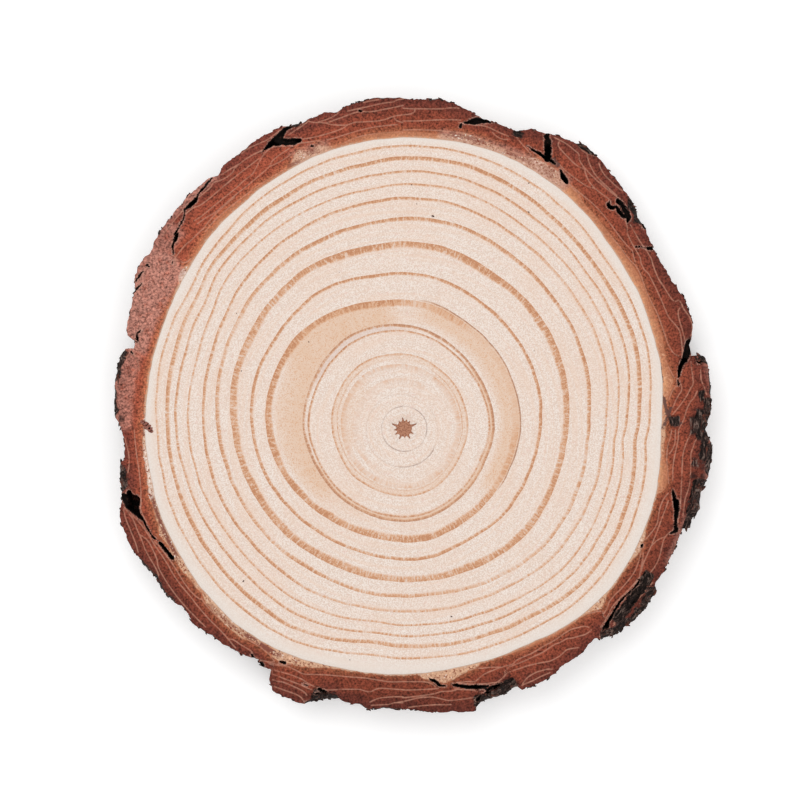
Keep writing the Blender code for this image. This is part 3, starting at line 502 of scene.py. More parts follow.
# Fissures down the wall: angle at the top, width, depth, and degrees of slant over the height.
FISSURES = (
    (15.7, 2.6, 1.6, -1.0), (29, 2.0, 1.2, 4.0), (44, 3.0, 1.8, 2.0), (63.2, 2.4, 2.2, 2.5),
    (76.5, 3.0, 1.6, 3.0), (91, 2.0, 1.2, -4.0), (101.6, 2.0, 1.4, -1.5), (110, 3.2, 2.2, 3.5),
    (126.2, 2.4, 1.8, 1.5), (139, 2.0, 1.4, -5.0), (152.5, 2.4, 1.3, -2.0), (162.4, 2.2, 1.6, 0.6),
    (179.5, 2.6, 1.4, 2.0), (189.5, 3.2, 1.6, -2.5), (204, 2.0, 1.4, 4.0), (218.6, 2.2, 1.2, 1.5),
    (229, 2.0, 1.0, -3.5), (237.9, 2.2, 1.2, 0.8), (254, 3.0, 1.6, -3.0), (268, 2.0, 1.2, 3.5),
    (289, 3.6, 2.2, -2.0), (303.5, 2.2, 1.2, -2.5), (313.5, 2.4, 1.8, 1.5), (328.6, 2.4, 1.6, -1.5),
    (341, 2.6, 2.0, 2.0), (353, 2.2, 1.6, -4.0),
)
# The bark's least thickness at the wall.
LEAST_BARK = 1.0

# The layers of scales in the bark's underside: how many, the loops in each, the arc that a scale
# takes and how far it is dished, the least distance between two, and the bark inside the first.
LAYERS = 6
LAYER_STEPS = 3
SCALE_ARC = (14, 44)
SCALE_DISH = (0.7, 1.9)
LEAST_LAYER = 0.03
INNER_BARK = 0.45

# The loops over the bark's sawn face and down its skirt, and how far the skirt reaches down.
TOP_ROWS = 58
SKIRT_ROWS = 6
SKIRT_DROP = 1.9

# Plates on the wall: how many round and up, the share that is gone, a plate's thickness, a seed.
PLATES = ((34, 1.5, 0.45, 0.75, 41), (80, 3, 0.42, 0.45, 42), (170, 6, 0.40, 0.25, 43))
# The loops down the wall, its lowest height, and over what height the plates begin.
WALL_ROWS = 13
WALL_FOOT = 0.75
WALL_BLEND = 1.6

# How light the bark is, every 30 degrees.
BARK_LIGHT = (0.97, 0.93, 1.04, 0.96, 1.25, 1.25, 1.25, 0.9, 0.9, 0.72, 0.93, 0.83)
# Soft-edged zones on the sawn bark: from, to, lowest and highest radius, strength.
PINK_ZONES = (
    (138, 166, 46.8, 53, 0.6), (143.5, 164, 42.9, 53, 0.85), (164, 180, 43.4, 53, 0.6),
    (126, 140, 50.0, 53, 0.8), (143, 156, 44.5, 48, 0.9), (56, 83, 45.5, 48.4, 0.8),
    (104.5, 112.5, 45.0, 48, 0.6), (333, 341, 47.0, 50, 0.9), (339, 343, 47.1, 49, 0.8),
    (349.5, 359, 48.9, 51, 0.9), (4, 14, 49.4, 51, 0.7),
)
RED_ZONES = (
    (195, 210, 41.15, 41.85, 0.9), (232, 241.5, 40.85, 41.65, 0.9), (222, 231.5, 41.35, 41.95, 0.5),
    (74, 82, 47.55, 48.25, 0.6), (64.5, 69, 47.15, 47.7, 0.5), (107.5, 109, 46.4, 47.3, 0.8),
    (111, 114, 45.7, 46.3, 0.7), (155, 164, 41.9, 42.3, 0.7), (176.5, 181, 39, 41.9, 0.9),
    (59, 62, 46.6, 48, 0.3), (277.5, 278.6, 41.2, 41.7, 0.6),
)
# The dark zones are sunk and painted near-black: partly the weathered outer bark's own black, partly
# painted shade in the notches and on the side of a raised block.
DARK_ZONES = (
    (318, 329.8, 44.85, 46.55, 1.5), (67.6, 69.8, 50.2, 51.4, 0.7), (340.5, 350.5, 47.3, 50, 1.1),
    (354, 362, 47.6, 49, 0.8), (350, 355, 46.4, 48.9, 0.45), (-2, 4, 47.0, 51, 0.85),
    (3, 6, 48.4, 51, 0.9), (5.2, 7.6, 47.7, 48.7, 0.8), (-1, 3, 45.9, 47.4, 0.6),
    (0.5, 3, 42.6, 44.3, 0.7), (111, 112.2, 49.9, 50.5, 0.4), (177, 178.6, 44.6, 45.5, 0.6),
    (55.2, 59.6, 53.3, 54.6, 0.8), (290, 294, 43.4, 45.6, 1.1), (284.8, 291, 44.2, 46, 1.2),
    (251, 256, 43.7, 45.6, 0.9), (60, 61.9, 48.7, 49.4, 0.6), (17, 18.5, 47.0, 48.6, 0.35),
)

# The photograph's size in pixels, and the millimetres to a pixel.
PHOTO_PIXELS = 801
PHOTO_SCALE = 0.16
# The middle of the photograph's frame, from the middle of the slice's box.
FRAME_MIDDLE = (-2.08, 0.72)
# The table's opening under the slice ends this far inside the bark's lower rim.
OPENING_INSET = 0.6
TABLE_RADIUS = 3000.0
TABLE_GLOW = 0.2
# The white light from all round, and the lamps: name, place and size in metres, power in watts.
SKY_LIGHT = 0.80
LAMPS = (
    ("key", (-0.25, 0.35, 0.80), 0.6, 2.3),
    ("fill", (0.35, -0.25, 0.8), 0.8, 1.3),
)
LENS = 180.0
SENSOR = 36.0


def smoothstep(x):
    x = np.clip(x, 0.0, 1.0)
    return x * x * (3 - 2 * x)


def soft_arc(angles, start, end, soft=3.0):
    """1 inside the arc and 0 outside it, with ends that fade over soft degrees."""
    half = (end - start) / 2
    off = np.abs((angles - start - half + 180) % 360 - 180)
    return smoothstep((half - off) / soft + 0.5)


def closed_curve(values, angles):
    """The smooth closed curve through values spaced evenly round the circle, read at angles."""
    values = np.asarray(values, float)
    place = (angles % 360) / 360 * len(values)
    i = np.floor(place).astype(int)
    t = place - i
    a, b, c, d = (values[(i + step) % len(values)] for step in (-1, 0, 1, 2))
    return b + 0.5 * t * (c - a + t * (2 * a - 5 * b + 4 * c - d + t * (3 * (b - c) + d - a)))


def round_noise(angles, cells, seed):
    """Smooth noise from -1 to 1 that closes round the circle, with a random value in each cell."""
    values = np.random.default_rng(seed).uniform(-1, 1, cells)
    return closed_curve(values, angles)


def wall_noise(angles, heights, around, up, seed):
    """Smooth noise from -1 to 1 over the wall, closed round the stem, with cells round and up."""
    table = np.random.default_rng(seed).uniform(-1, 1, (up + 2, around))
    x = (angles % 360) / 360 * around
    y = np.clip(heights / THICKNESS, 0, 1) * up
    i, j = np.floor(x).astype(int), np.floor(y).astype(int)
    s, t = smoothstep(x - i), smoothstep(y - j)
    low = table[j, i % around] * (1 - s) + table[j, (i + 1) % around] * s
    high = table[j + 1, i % around] * (1 - s) + table[j + 1, (i + 1) % around] * s
    return low * (1 - t) + high * t


def outline_radius(angles):
    """The bark's outline, with its crumbled edge."""
    corner_angles, corner_radii = np.array(OUTLINE).T
    smooth = np.interp(angles, corner_angles, corner_radii, period=360)
    crumble = 0.6 * np.abs(round_noise(angles, 520, 51)) + 0.4 * np.abs(round_noise(angles, 190, 52))
    return smooth + OUTLINE_RAISE - OUTLINE_CRUMBLE * crumble


def skirt(angles):
    """How far the weathered bark reaches past the sawn edge."""
    reach = np.full_like(angles, 0.06)
    for start, end, amount in SKIRTS:
        along = (angles - start) % 360
        ramp = np.minimum(along, (end - start) - along)
        reach = np.maximum(reach, amount * smoothstep(ramp / 1.5))
    ragged = 1 + 0.18 * round_noise(angles, 150, 53) + 0.18 * round_noise(angles, 420, 54)
    return reach * ragged


def place(angles, radii, heights):
    """Points in metres, from angles, radii and heights of the same shape."""
    turn = np.radians(angles)
    x = PITH[0] + radii * np.cos(turn)
    y = PITH[1] + radii * np.sin(turn)
    return np.stack([x, y, np.broadcast_to(heights, x.shape)], axis=-1) * MM


def turned_from(angles, middle):
    """How many degrees the angles are away from the middle, either way round."""
    return np.abs((angles - middle + 180) % 360 - 180)


def piece_from(name, vertices, faces, attributes, material):
    """A piece of the slice: a mesh with its values for each vertex, its material and its place."""
    mesh = bpy.data.meshes.new(name)
    mesh.from_pydata(vertices, [], faces)
    for label, values in attributes.items():
        layer = mesh.attributes.new(label, "FLOAT", "POINT")
        layer.data.foreach_set("value", np.ascontiguousarray(values, np.float32).ravel())
    mesh.materials.append(material)
    mesh.shade_smooth()
    piece = bpy.data.objects.new(name, mesh)
    bpy.context.scene.collection.objects.link(piece)
    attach(piece, "root")
    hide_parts("wood_slice")
    return piece


def grid_faces(rows, columns, closed):
    """Quads between neighbouring loops, facing out of loops that run from the middle outwards."""
    k = np.arange(columns)
    after = (k + 1) % columns
    quads = []
    for row in range(rows if closed else rows - 1):
        inner, outer = row * columns, (row + 1) % rows * columns
        quads.append(np.stack([inner + k, outer + k, outer + after, inner + after], axis=1))
    return np.concatenate(quads).tolist()


# The wood


def wood_radius(angles):
    wobble = 0.10 * round_noise(angles, 60, 11) + 0.05 * round_noise(angles, 200, 12)
    return closed_curve(WOOD_RADII, angles) + wobble


def ring_radius(ring, number, angles):
    """The ring's outer radius, with the small wobbles that neighbouring rings share."""
    mean = np.mean(ring.radii)
    shared = 0.07 * round_noise(angles, 24, 13) + 0.05 * round_noise(angles, 70, 14)
    own = 0.05 * round_noise(angles, 110, 60 + number)
    radius = closed_curve(ring.radii, angles) + (shared + own) * mean / 30
    for centre, half, depth in DENTS:
        off = turned_from(angles, centre)
        reach = smoothstep((mean - DENTS_FROM) / 4)
        radius = radius - depth * reach * np.exp(-((off / half) ** 2))
    return radius


def ring_strength(ring, number, angles):
    strength = 1 + 0.18 * round_noise(angles, 40, 80 + number)
    for start, end, factor in ring.arcs:
        strength = strength * (1 - (1 - factor) * soft_arc(angles, start, end, 14.0))
    return strength


def pith_edge(angles):
    edge = np.full_like(angles, PITH_RADIUS) + 0.05 * round_noise(angles, 40, 15)
    for ray, length in PITH_RAYS:
        off = turned_from(angles, ray)
        edge = np.maximum(edge, PITH_RADIUS + length * np.exp(-((off / PITH_RAY_WIDTH) ** 2)))
    return edge


def stain_across(number, angles):
    """How stained the wood is at the five places across the gap past a ring."""
    found = np.zeros((5, len(angles)))
    for ring, start, end, strengths in STAINS:
        if ring == number:
            found += np.array(strengths)[:, None] * soft_arc(angles, start, end, 16.0)
    return found


def wood_rows(angles):
    """Loops over a sawn face of the wood, each a dictionary of values for every column."""
    rows = []
    blank = dict(drop=0.0, late=0.0, grey=0.0, stain=0.0, smoke=0.0, ring_at=3.0, pith=0.0, pale=0.0)

    def row(radius, **values):
        values = blank | values | {"radius": radius}
        rows.append({key: np.broadcast_to(value, angles.shape) for key, value in values.items()})

    star = pith_edge(angles)
    spongy = 0.04 * round_noise(angles, 30, 16)
    row(0.35 * star, drop=PITH_DEPTH + spongy, pith=1.0)
    row(0.70 * star, drop=PITH_DEPTH - spongy, pith=1.0)
    row(0.93 * star, drop=PITH_DEPTH * 0.8, pith=1.0)
    row(star, drop=0.04, pith=1.0)
    row(star + 0.05)
    radii = [ring_radius(ring, number, angles) for number, ring in enumerate(RINGS)]
    smoky = soft_arc(angles, *SMOKE, 16.0)
    for number, (ring, radius) in enumerate(zip(RINGS, radii)):
        weight = ring_strength(ring, number, angles)
        width = ring.width * (1 + 0.2 * round_noise(angles, 36, 100 + number))
        late = ring.strength * weight
        grey = ring.grey * weight
        at = float(np.mean(ring.radii))
        before, after = stain_across(number - 1, angles)[-1], stain_across(number, angles)
        smoke = smoky * (number == TWINS[1])
        row(radius - width - ring.fade, stain=before, smoke=smoke, ring_at=at)
        row(radius - width, late=0.75 * late, grey=0.3 * grey, stain=before, smoke=smoke, ring_at=at)
        row(radius - 0.3 * width, late=0.9 * late, grey=grey, stain=before, ring_at=at)
        row(radius, late=late, grey=grey, stain=0.5 * (before + after[0]), ring_at=at)
        row(radius + RING_EDGE, stain=after[0], smoke=smoky * (number == TWINS[0]), ring_at=at)
        if number == TWINS[1]:
            outer = RINGS[number + 1]
            band = radii[number + 1] - outer.width - outer.fade
            for off, strength in zip(STAIN_PLACES, after[1:4]):
                row((radius if 0 < off else band) + off, stain=strength, ring_at=at)
    wood = wood_radius(angles)
    at = float(np.mean(WOOD_RADII))
    row(radii[-1] + 0.35, pale=0.45, ring_at=at)
    row(0.5 * (radii[-1] + 0.35 + wood), pale=0.85, ring_at=at)
    row(wood - 0.12, pale=1.0, ring_at=at)
    row(wood, drop=0.08, pale=1.0, ring_at=at)
    for inner, outer in zip(rows, rows[1:]):
        outer["radius"] = np.maximum(outer["radius"], inner["radius"] + LEAST_ROW)
    return rows


def build_wood(material):
    """The wood as a closed disc: its top face, its hidden edge and its under face."""
    vertices, faces, values = [], [], {}
    counts = (WOOD_COLUMNS, UNDER_COLUMNS)
    sides = []
    for columns, height, side in ((counts[0], WOOD_TOP, 1.0), (counts[1], 0.0, -1.0)):
        angles = np.arange(columns) * 360 / columns
        rows = wood_rows(angles)
        # A vertex at the pith's centre closes each face.
        centre = {key: row[:1] for key, row in rows[0].items()} | {"radius": np.zeros(1)}
        rows = [centre] + rows
        for row in rows:
            across = angles[: len(row["radius"])]
            heights = height - side * row["drop"]
            points = place(across, row["radius"], heights)
            shifted = smoothstep((STAR_REACH - row["radius"]) / (STAR_REACH - PITH_RADIUS - 1.0))
            points[:, :2] += shifted[:, None] * np.array(STAR_SHIFT) * MM
            vertices.append(points)
            for key in ("late", "grey", "stain", "smoke", "ring_at", "pith", "pale"):
                values.setdefault(key, []).append(row[key])
        sides.append((columns, len(rows)))
    start = 0
    for (columns, count), side in zip(sides, (1, -1)):
        k = np.arange(columns)
        after = (k + 1) % columns
        first = start + 1
        fan = np.stack([np.full(columns, start), first + k, first + after], axis=1)
        faces += (fan if side > 0 else fan[:, ::-1]).tolist()
        quads = np.array(grid_faces(count - 1, columns, closed=False)) + first
        faces += (quads if side > 0 else quads[:, ::-1]).tolist()
        start = first + (count - 1) * columns
    top_edge = 1 + (sides[0][1] - 2) * WOOD_COLUMNS
    under_edge = 1 + (sides[0][1] - 1) * WOOD_COLUMNS + 1 + (sides[1][1] - 2) * UNDER_COLUMNS
    faces += join_two_to_one(top_edge, under_edge, UNDER_COLUMNS)
    attributes = {key: np.concatenate(parts) for key, parts in values.items()}
    return piece_from("wood", np.concatenate(vertices), faces, attributes, material)


# The bark


def layer_lines(angles, wood, rim, seed):
    """Radii of the lines between the underside's layers of scales.

    Each layer is a row of scales dished towards the wood. A newer one, nearer the wood, cuts off
    the older ones outside it.
    """
    draws = np.random.default_rng(seed)
    span = rim - wood - INNER_BARK
    below = wood + INNER_BARK * (1 + 0.4 * round_noise(angles, 30, seed + 1))
    lines = []
    for layer in range(LAYERS):
        ends = np.cumsum(draws.uniform(*SCALE_ARC, 24))
        ends = np.append(0.0, ends[ends < 350]) * 360 / 352
        ends = np.append(ends, 360.0)
        turned = (angles + draws.uniform(0, 360)) % 360
        scale = np.clip(np.searchsorted(ends, turned, side="right") - 1, 0, len(ends) - 2)
        dish = draws.uniform(*SCALE_DISH, len(ends))[scale]
        skew = draws.uniform(0.55, 1.8, len(ends))[scale]
        along = ((turned - ends[scale]) / (ends[scale + 1] - ends[scale])) ** skew
        rise = np.abs(2 * along - 1) ** 2.4
        wobble = 0.08 * round_noise(angles, 90, seed + 10 + layer)
        line = wood + INNER_BARK + span * (layer + 0.75) / LAYERS + dish * (rise - 0.55) + wobble
        line = np.minimum(np.maximum(line, below + LEAST_LAYER), rim - (LAYERS - layer) * LEAST_LAYER)
        lines.append(line)
        below = line
    return lines


def smooth_path(points, steps=4):
    """Points along the smooth curve through the given ones."""
    points = np.asarray(points, float)
    ends = np.concatenate([[2 * points[0] - points[1]], points, [2 * points[-1] - points[-2]]])
    t = np.arange(steps)[:, None] / steps
    found = []
    for a, b, c, d in zip(ends, ends[1:], ends[2:], ends[3:]):
        found.append(b + 0.5 * t * (c - a + t * (2 * a - 5 * b + 4 * c - d + t * (3 * (b - c) + d - a))))
    return np.concatenate(found + [points[-1:]])


def distance_to(paths, angles, radii, reach):
    """Millimetres from each point of a grid to the nearest path's edge, up to reach.

    The grid's columns are spaced evenly round the circle. A path's points are an angle, a radius
    and, if it has a width of its own, half of that width.
    """
    flat = place(np.broadcast_to(angles, radii.shape), radii, 0.0)[..., :2] / MM
    columns = len(angles)
    nearest = np.full(radii.shape, reach)
    margin = np.degrees(reach / 38.0)
    for path in paths:
        points = smooth_path(path)
        spots = place(points[:, 0], points[:, 1], 0.0)[:, :2] / MM
        widths = points[:, 2] if points.shape[1] == 3 else np.zeros(len(points))
        for k in range(len(points) - 1):
            low, high = sorted(points[k : k + 2, 0])
            first = math.floor((low - margin) / 360 * columns)
            last = math.ceil((high + margin) / 360 * columns)
            near = np.arange(first, last) % columns
            step = spots[k + 1] - spots[k]
            offset = flat[:, near] - spots[k]
            t = np.clip((offset @ step) / (step @ step), 0, 1)
            off = np.linalg.norm(offset - t[..., None] * step, axis=-1)
            off = off - (widths[k] + t * (widths[k + 1] - widths[k]))
            nearest[:, near] = np.minimum(nearest[:, near], off)
    return nearest


def zone(angles, radii, zones, soft):
    """How strongly each point lies in zones whose edges are soft millimetres wide."""
    found = np.zeros(radii.shape)
    for start, end, low, high, strength in zones:
        across = smoothstep((radii - low) / soft + 0.5) * smoothstep((high - radii) / soft + 0.5)
        found = np.maximum(found, strength * soft_arc(angles, start, end, 1.6) * across)
    return found


def plates(angles, heights, around, up, seed):
    """The number from 0 to 1 of the plate at each point of the wall, and how far its edge is."""
    draws = np.random.default_rng(seed)
    rows = math.ceil(up) + 3
    shift = draws.random((rows, around, 2))
    number = draws.random((rows, around))
    warp_x = 0.35 * wall_noise(angles, heights, around * 2, rows * 2, seed + 100)
    warp_y = 0.35 * wall_noise(angles, heights, around * 2, rows * 2, seed + 200)
    x = (angles % 360) / 360 * around + warp_x
    y = np.clip(heights / THICKNESS, 0, 1) * up + 1 + warp_y
    nearest, second = np.full(x.shape, 99.0), np.full(x.shape, 99.0)
    found = np.zeros(x.shape)
    for down in (-1, 0, 1):
        for side in (-1, 0, 1):
            j = np.clip(np.floor(y).astype(int) + down, 0, rows - 1)
            i = np.floor(x).astype(int) + side
            here = shift[j, i % around]
            off = np.hypot(x - i - here[..., 0], y - np.floor(y) - down - here[..., 1])
            closer = off < nearest
            second = np.where(closer, nearest, np.minimum(second, off))
            found = np.where(closer, number[j, i % around], found)
            nearest = np.where(closer, off, nearest)
    return found, second - nearest


def wall_inside(angles, heights):
    """How deep the wall lies inside the outline, how near a plate's edge is, and a fissure's depth."""
    inside, rim = np.zeros(angles.shape), np.zeros(angles.shape)
    for around, up, gone, thickness, seed in PLATES:
        number, edge = plates(angles, heights, around, up, seed)
        inside += thickness * (number < gone) * smoothstep(edge / 0.12)
        rim = np.maximum(rim, 1 - smoothstep(edge / 0.14))
    fissured = np.zeros(angles.shape)
    for top_angle, width, depth, slant in FISSURES:
        centre = top_angle + slant * (1 - heights / THICKNESS)
        off = turned_from(angles, centre)
        fissured = np.maximum(fissured, depth * smoothstep(1 - off / (width / 2)))
    coarse, fine = wall_noise(angles, heights, 400, 14, 71), wall_noise(angles, heights, 900, 30, 72)
    rough = 0.10 * coarse + 0.06 * fine
    return inside + fissured + np.abs(rough), rim, fissured


def join_two_to_one(fine, coarse, columns):
    """Triangles between a loop and one below it with half as many columns."""
    faces = []
    for k in range(columns):
        after = (k + 1) % columns
        a, b, c = (fine + (2 * k + step) % (2 * columns) for step in (0, 1, 2))
        faces += [[a, coarse + k, b], [b, coarse + k, coarse + after], [b, coarse + after, c]]
    return faces


def sawn_bark(angles, wood, outline, cut):
    """The sawn face and the weathered skirt past it, as a grid of values."""
    share = np.linspace(0, 1, TOP_ROWS)[:, None]
    radii = wood + share * (cut - wood)
    grid = np.broadcast_to(angles, radii.shape)
    crack = distance_to(CRACKS, angles, radii, SEAM_REACH)
    # The radius, wrapped at the thickness, takes the place of the height in the noise.
    across = radii % THICKNESS
    ragged = wall_noise(grid, across, 900, 40, 73) + wall_noise(grid, across, 300, 14, 74)
    crack = crack + CRACK_RAGGED * ragged
    # A crack is deep in the middle of the bark, and shallow where its floor would reach the wall.
    room = smoothstep((least_wall(angles, outline, wood) - 0.2 - radii) / 0.5)
    depth = RIM_CRACK_DEPTH + (CRACK_DEPTH - RIM_CRACK_DEPTH) * room
    sink = depth * smoothstep(-crack / 0.25 + 0.15)
    seam = distance_to(SCALE_LINES, angles, radii, SEAM_REACH)
    rough = 0.03 * wall_noise(grid, across, 1200, 60, 75) + 0.04 * wall_noise(grid, across, 200, 16, 76)
    lift = 0.05 * smoothstep(1 - seam / 0.3) + rough
    smear = distance_to(SMEARS, angles, radii, SEAM_REACH) + 0.10 * ragged
    dark = zone(grid, radii + 0.15 * ragged, DARK_ZONES, 0.3)
    height = BARK_TOP + np.minimum(lift, 0.12) - sink - 0.5 * dark * (1 + 0.6 * ragged).clip(0, 2)
    layer_angles, layer_thickness, layer_pale = np.array(CAMBIUM).T
    thickness = np.interp(angles, layer_angles, layer_thickness, period=360)
    pale = np.interp(angles, layer_angles, layer_pale, period=360)
    above = radii - wood_radius(angles) - thickness
    above = above + 0.10 * wall_noise(grid, across, 500, 20, 77)
    face = dict(
        radius=radii, height=height, seam=seam, crack=crack, dark=dark, smear=smear,
        side=np.zeros(radii.shape), share=share + 0 * radii, cambium=np.clip(above, -2, 3),
        pale=pale + 0 * radii, pink=zone(grid, radii, PINK_ZONES, 1.2),
        red=zone(grid, radii, RED_ZONES, 0.25), deep=np.clip(radii - wood_radius(angles), 0, 3),
    )
    down = (np.arange(1, SKIRT_ROWS + 1) / SKIRT_ROWS)[:, None]
    wide = np.clip((outline - cut) / 0.8, 0, 1)
    radii = cut + (outline - cut) * down ** 0.8
    torn = wall_noise(grid[:SKIRT_ROWS], 10 * down + 0 * radii, 330, 12, 78)
    height = BARK_TOP - 0.12 - SKIRT_DROP * down ** 1.3 + 0.45 * torn * wide * (1 - 0.6 * down)
    blank = np.zeros(radii.shape)
    skirt_part = dict(
        radius=radii, height=np.minimum(height, BARK_TOP - 0.05), seam=blank + SEAM_REACH,
        crack=blank + SEAM_REACH, dark=blank, smear=blank + SEAM_REACH, side=blank + 0.5,
        share=blank + 1, cambium=blank + 3, pale=blank, pink=blank, red=blank, deep=blank + 3,
    )
    return {key: np.concatenate([face[key], skirt_part[key]]) for key in face}


def wall_heights():
    """The heights of the wall's loops, from the skirt down."""
    return np.linspace(BARK_TOP - SKIRT_DROP, WALL_FOOT, WALL_ROWS)


def least_wall(angles, outline, wood):
    """The wall's smallest radius under each point of the rim."""
    inside = wall_inside(*np.broadcast_arrays(angles, wall_heights()[:, None]))[0]
    return np.maximum(outline - inside, wood + LEAST_BARK).min(axis=0)


def build_bark(material):
    """The bark as a closed ring: its sawn top, its wall, its sawn underside and its hidden inside.

    The values of the sawn top, with its points, and the radii of the lower rim are handed back.
    """
    fine = np.arange(BARK_COLUMNS) * 360 / BARK_COLUMNS
    wood = wood_radius(fine) - 0.15
    outline = outline_radius(fine) - INSET
    top = sawn_bark(fine, wood, outline, outline - skirt(fine))

    angles = fine[::2]
    wood, outline = wood[::2], outline[::2]
    keys = tuple(top)
    rows = []

    def row(**values):
        blank = dict(seam=SEAM_REACH, crack=SEAM_REACH, smear=SEAM_REACH, share=1.0, cambium=3.0, deep=3.0)
        found = {key: values.get(key, blank.get(key, 0.0)) for key in keys}
        rows.append({key: np.broadcast_to(value, angles.shape) for key, value in found.items()})

    heights = wall_heights()[1:]
    grid_angles, grid_heights = np.broadcast_arrays(angles, heights[:, None])
    inside, plate_rim, fissured = wall_inside(grid_angles, grid_heights)
    below = smoothstep((BARK_TOP - SKIRT_DROP - grid_heights) / WALL_BLEND)
    wall = np.maximum(outline - inside * below, wood + LEAST_BARK)
    for number, height in enumerate(heights):
        row(radius=wall[number], height=height, side=1.0)
    foot = wall[-1] - 0.3
    row(radius=foot, height=BARK_STEP + 0.1, side=0.6)
    rim = foot - 0.15
    lines = layer_lines(angles, wood, rim, 35)
    borders = [wood] + lines + [rim]
    under = []
    for inner, outer in zip(borders, borders[1:]):
        for part in np.arange(LAYER_STEPS) / LAYER_STEPS:
            radius = inner + part * (outer - inner)
            under.append(dict(
                radius=radius, height=BARK_STEP, seam=np.minimum(part, 1 - part) * (outer - inner),
                share=(radius - wood) / (rim - wood), cambium=radius - wood - 0.6,
                deep=radius - wood, pale=0.3,
            ))
    for values in reversed(under):
        row(**values)
    lower = {key: np.array([values[key] for values in rows]) for key in keys}

    values = {key: np.concatenate([top[key].ravel(), lower[key].ravel()]) for key in keys}
    top_rows, lower_rows = len(top["radius"]), len(rows)
    turns = np.concatenate([np.tile(fine, top_rows), np.tile(angles, lower_rows)])
    points = place(turns, values.pop("radius"), values.pop("height"))
    points = np.clip(points, *DRESSED_BOX)
    extra = {"plate_rim": plate_rim, "fissured": fissured * below}
    for key, part in extra.items():
        values[key] = np.zeros(len(turns))
        values[key][top_rows * BARK_COLUMNS :][: part.size] = part.ravel()
    values["light"] = closed_curve(BARK_LIGHT, turns)

    start = top_rows * BARK_COLUMNS
    faces = grid_faces(top_rows, BARK_COLUMNS, closed=False)
    faces += join_two_to_one(start - BARK_COLUMNS, start, WALL_COLUMNS)
    faces += (np.array(grid_faces(lower_rows, WALL_COLUMNS, closed=False)) + start).tolist()
    # The hidden inner wall closes the ring.
    hidden = join_two_to_one(0, start + (lower_rows - 1) * WALL_COLUMNS, WALL_COLUMNS)
    faces += [face[::-1] for face in hidden]
    piece_from("bark", points, faces, values, material)
    top["point"] = points[:start].reshape(top_rows, BARK_COLUMNS, 3)
    return top, rim


# Materials


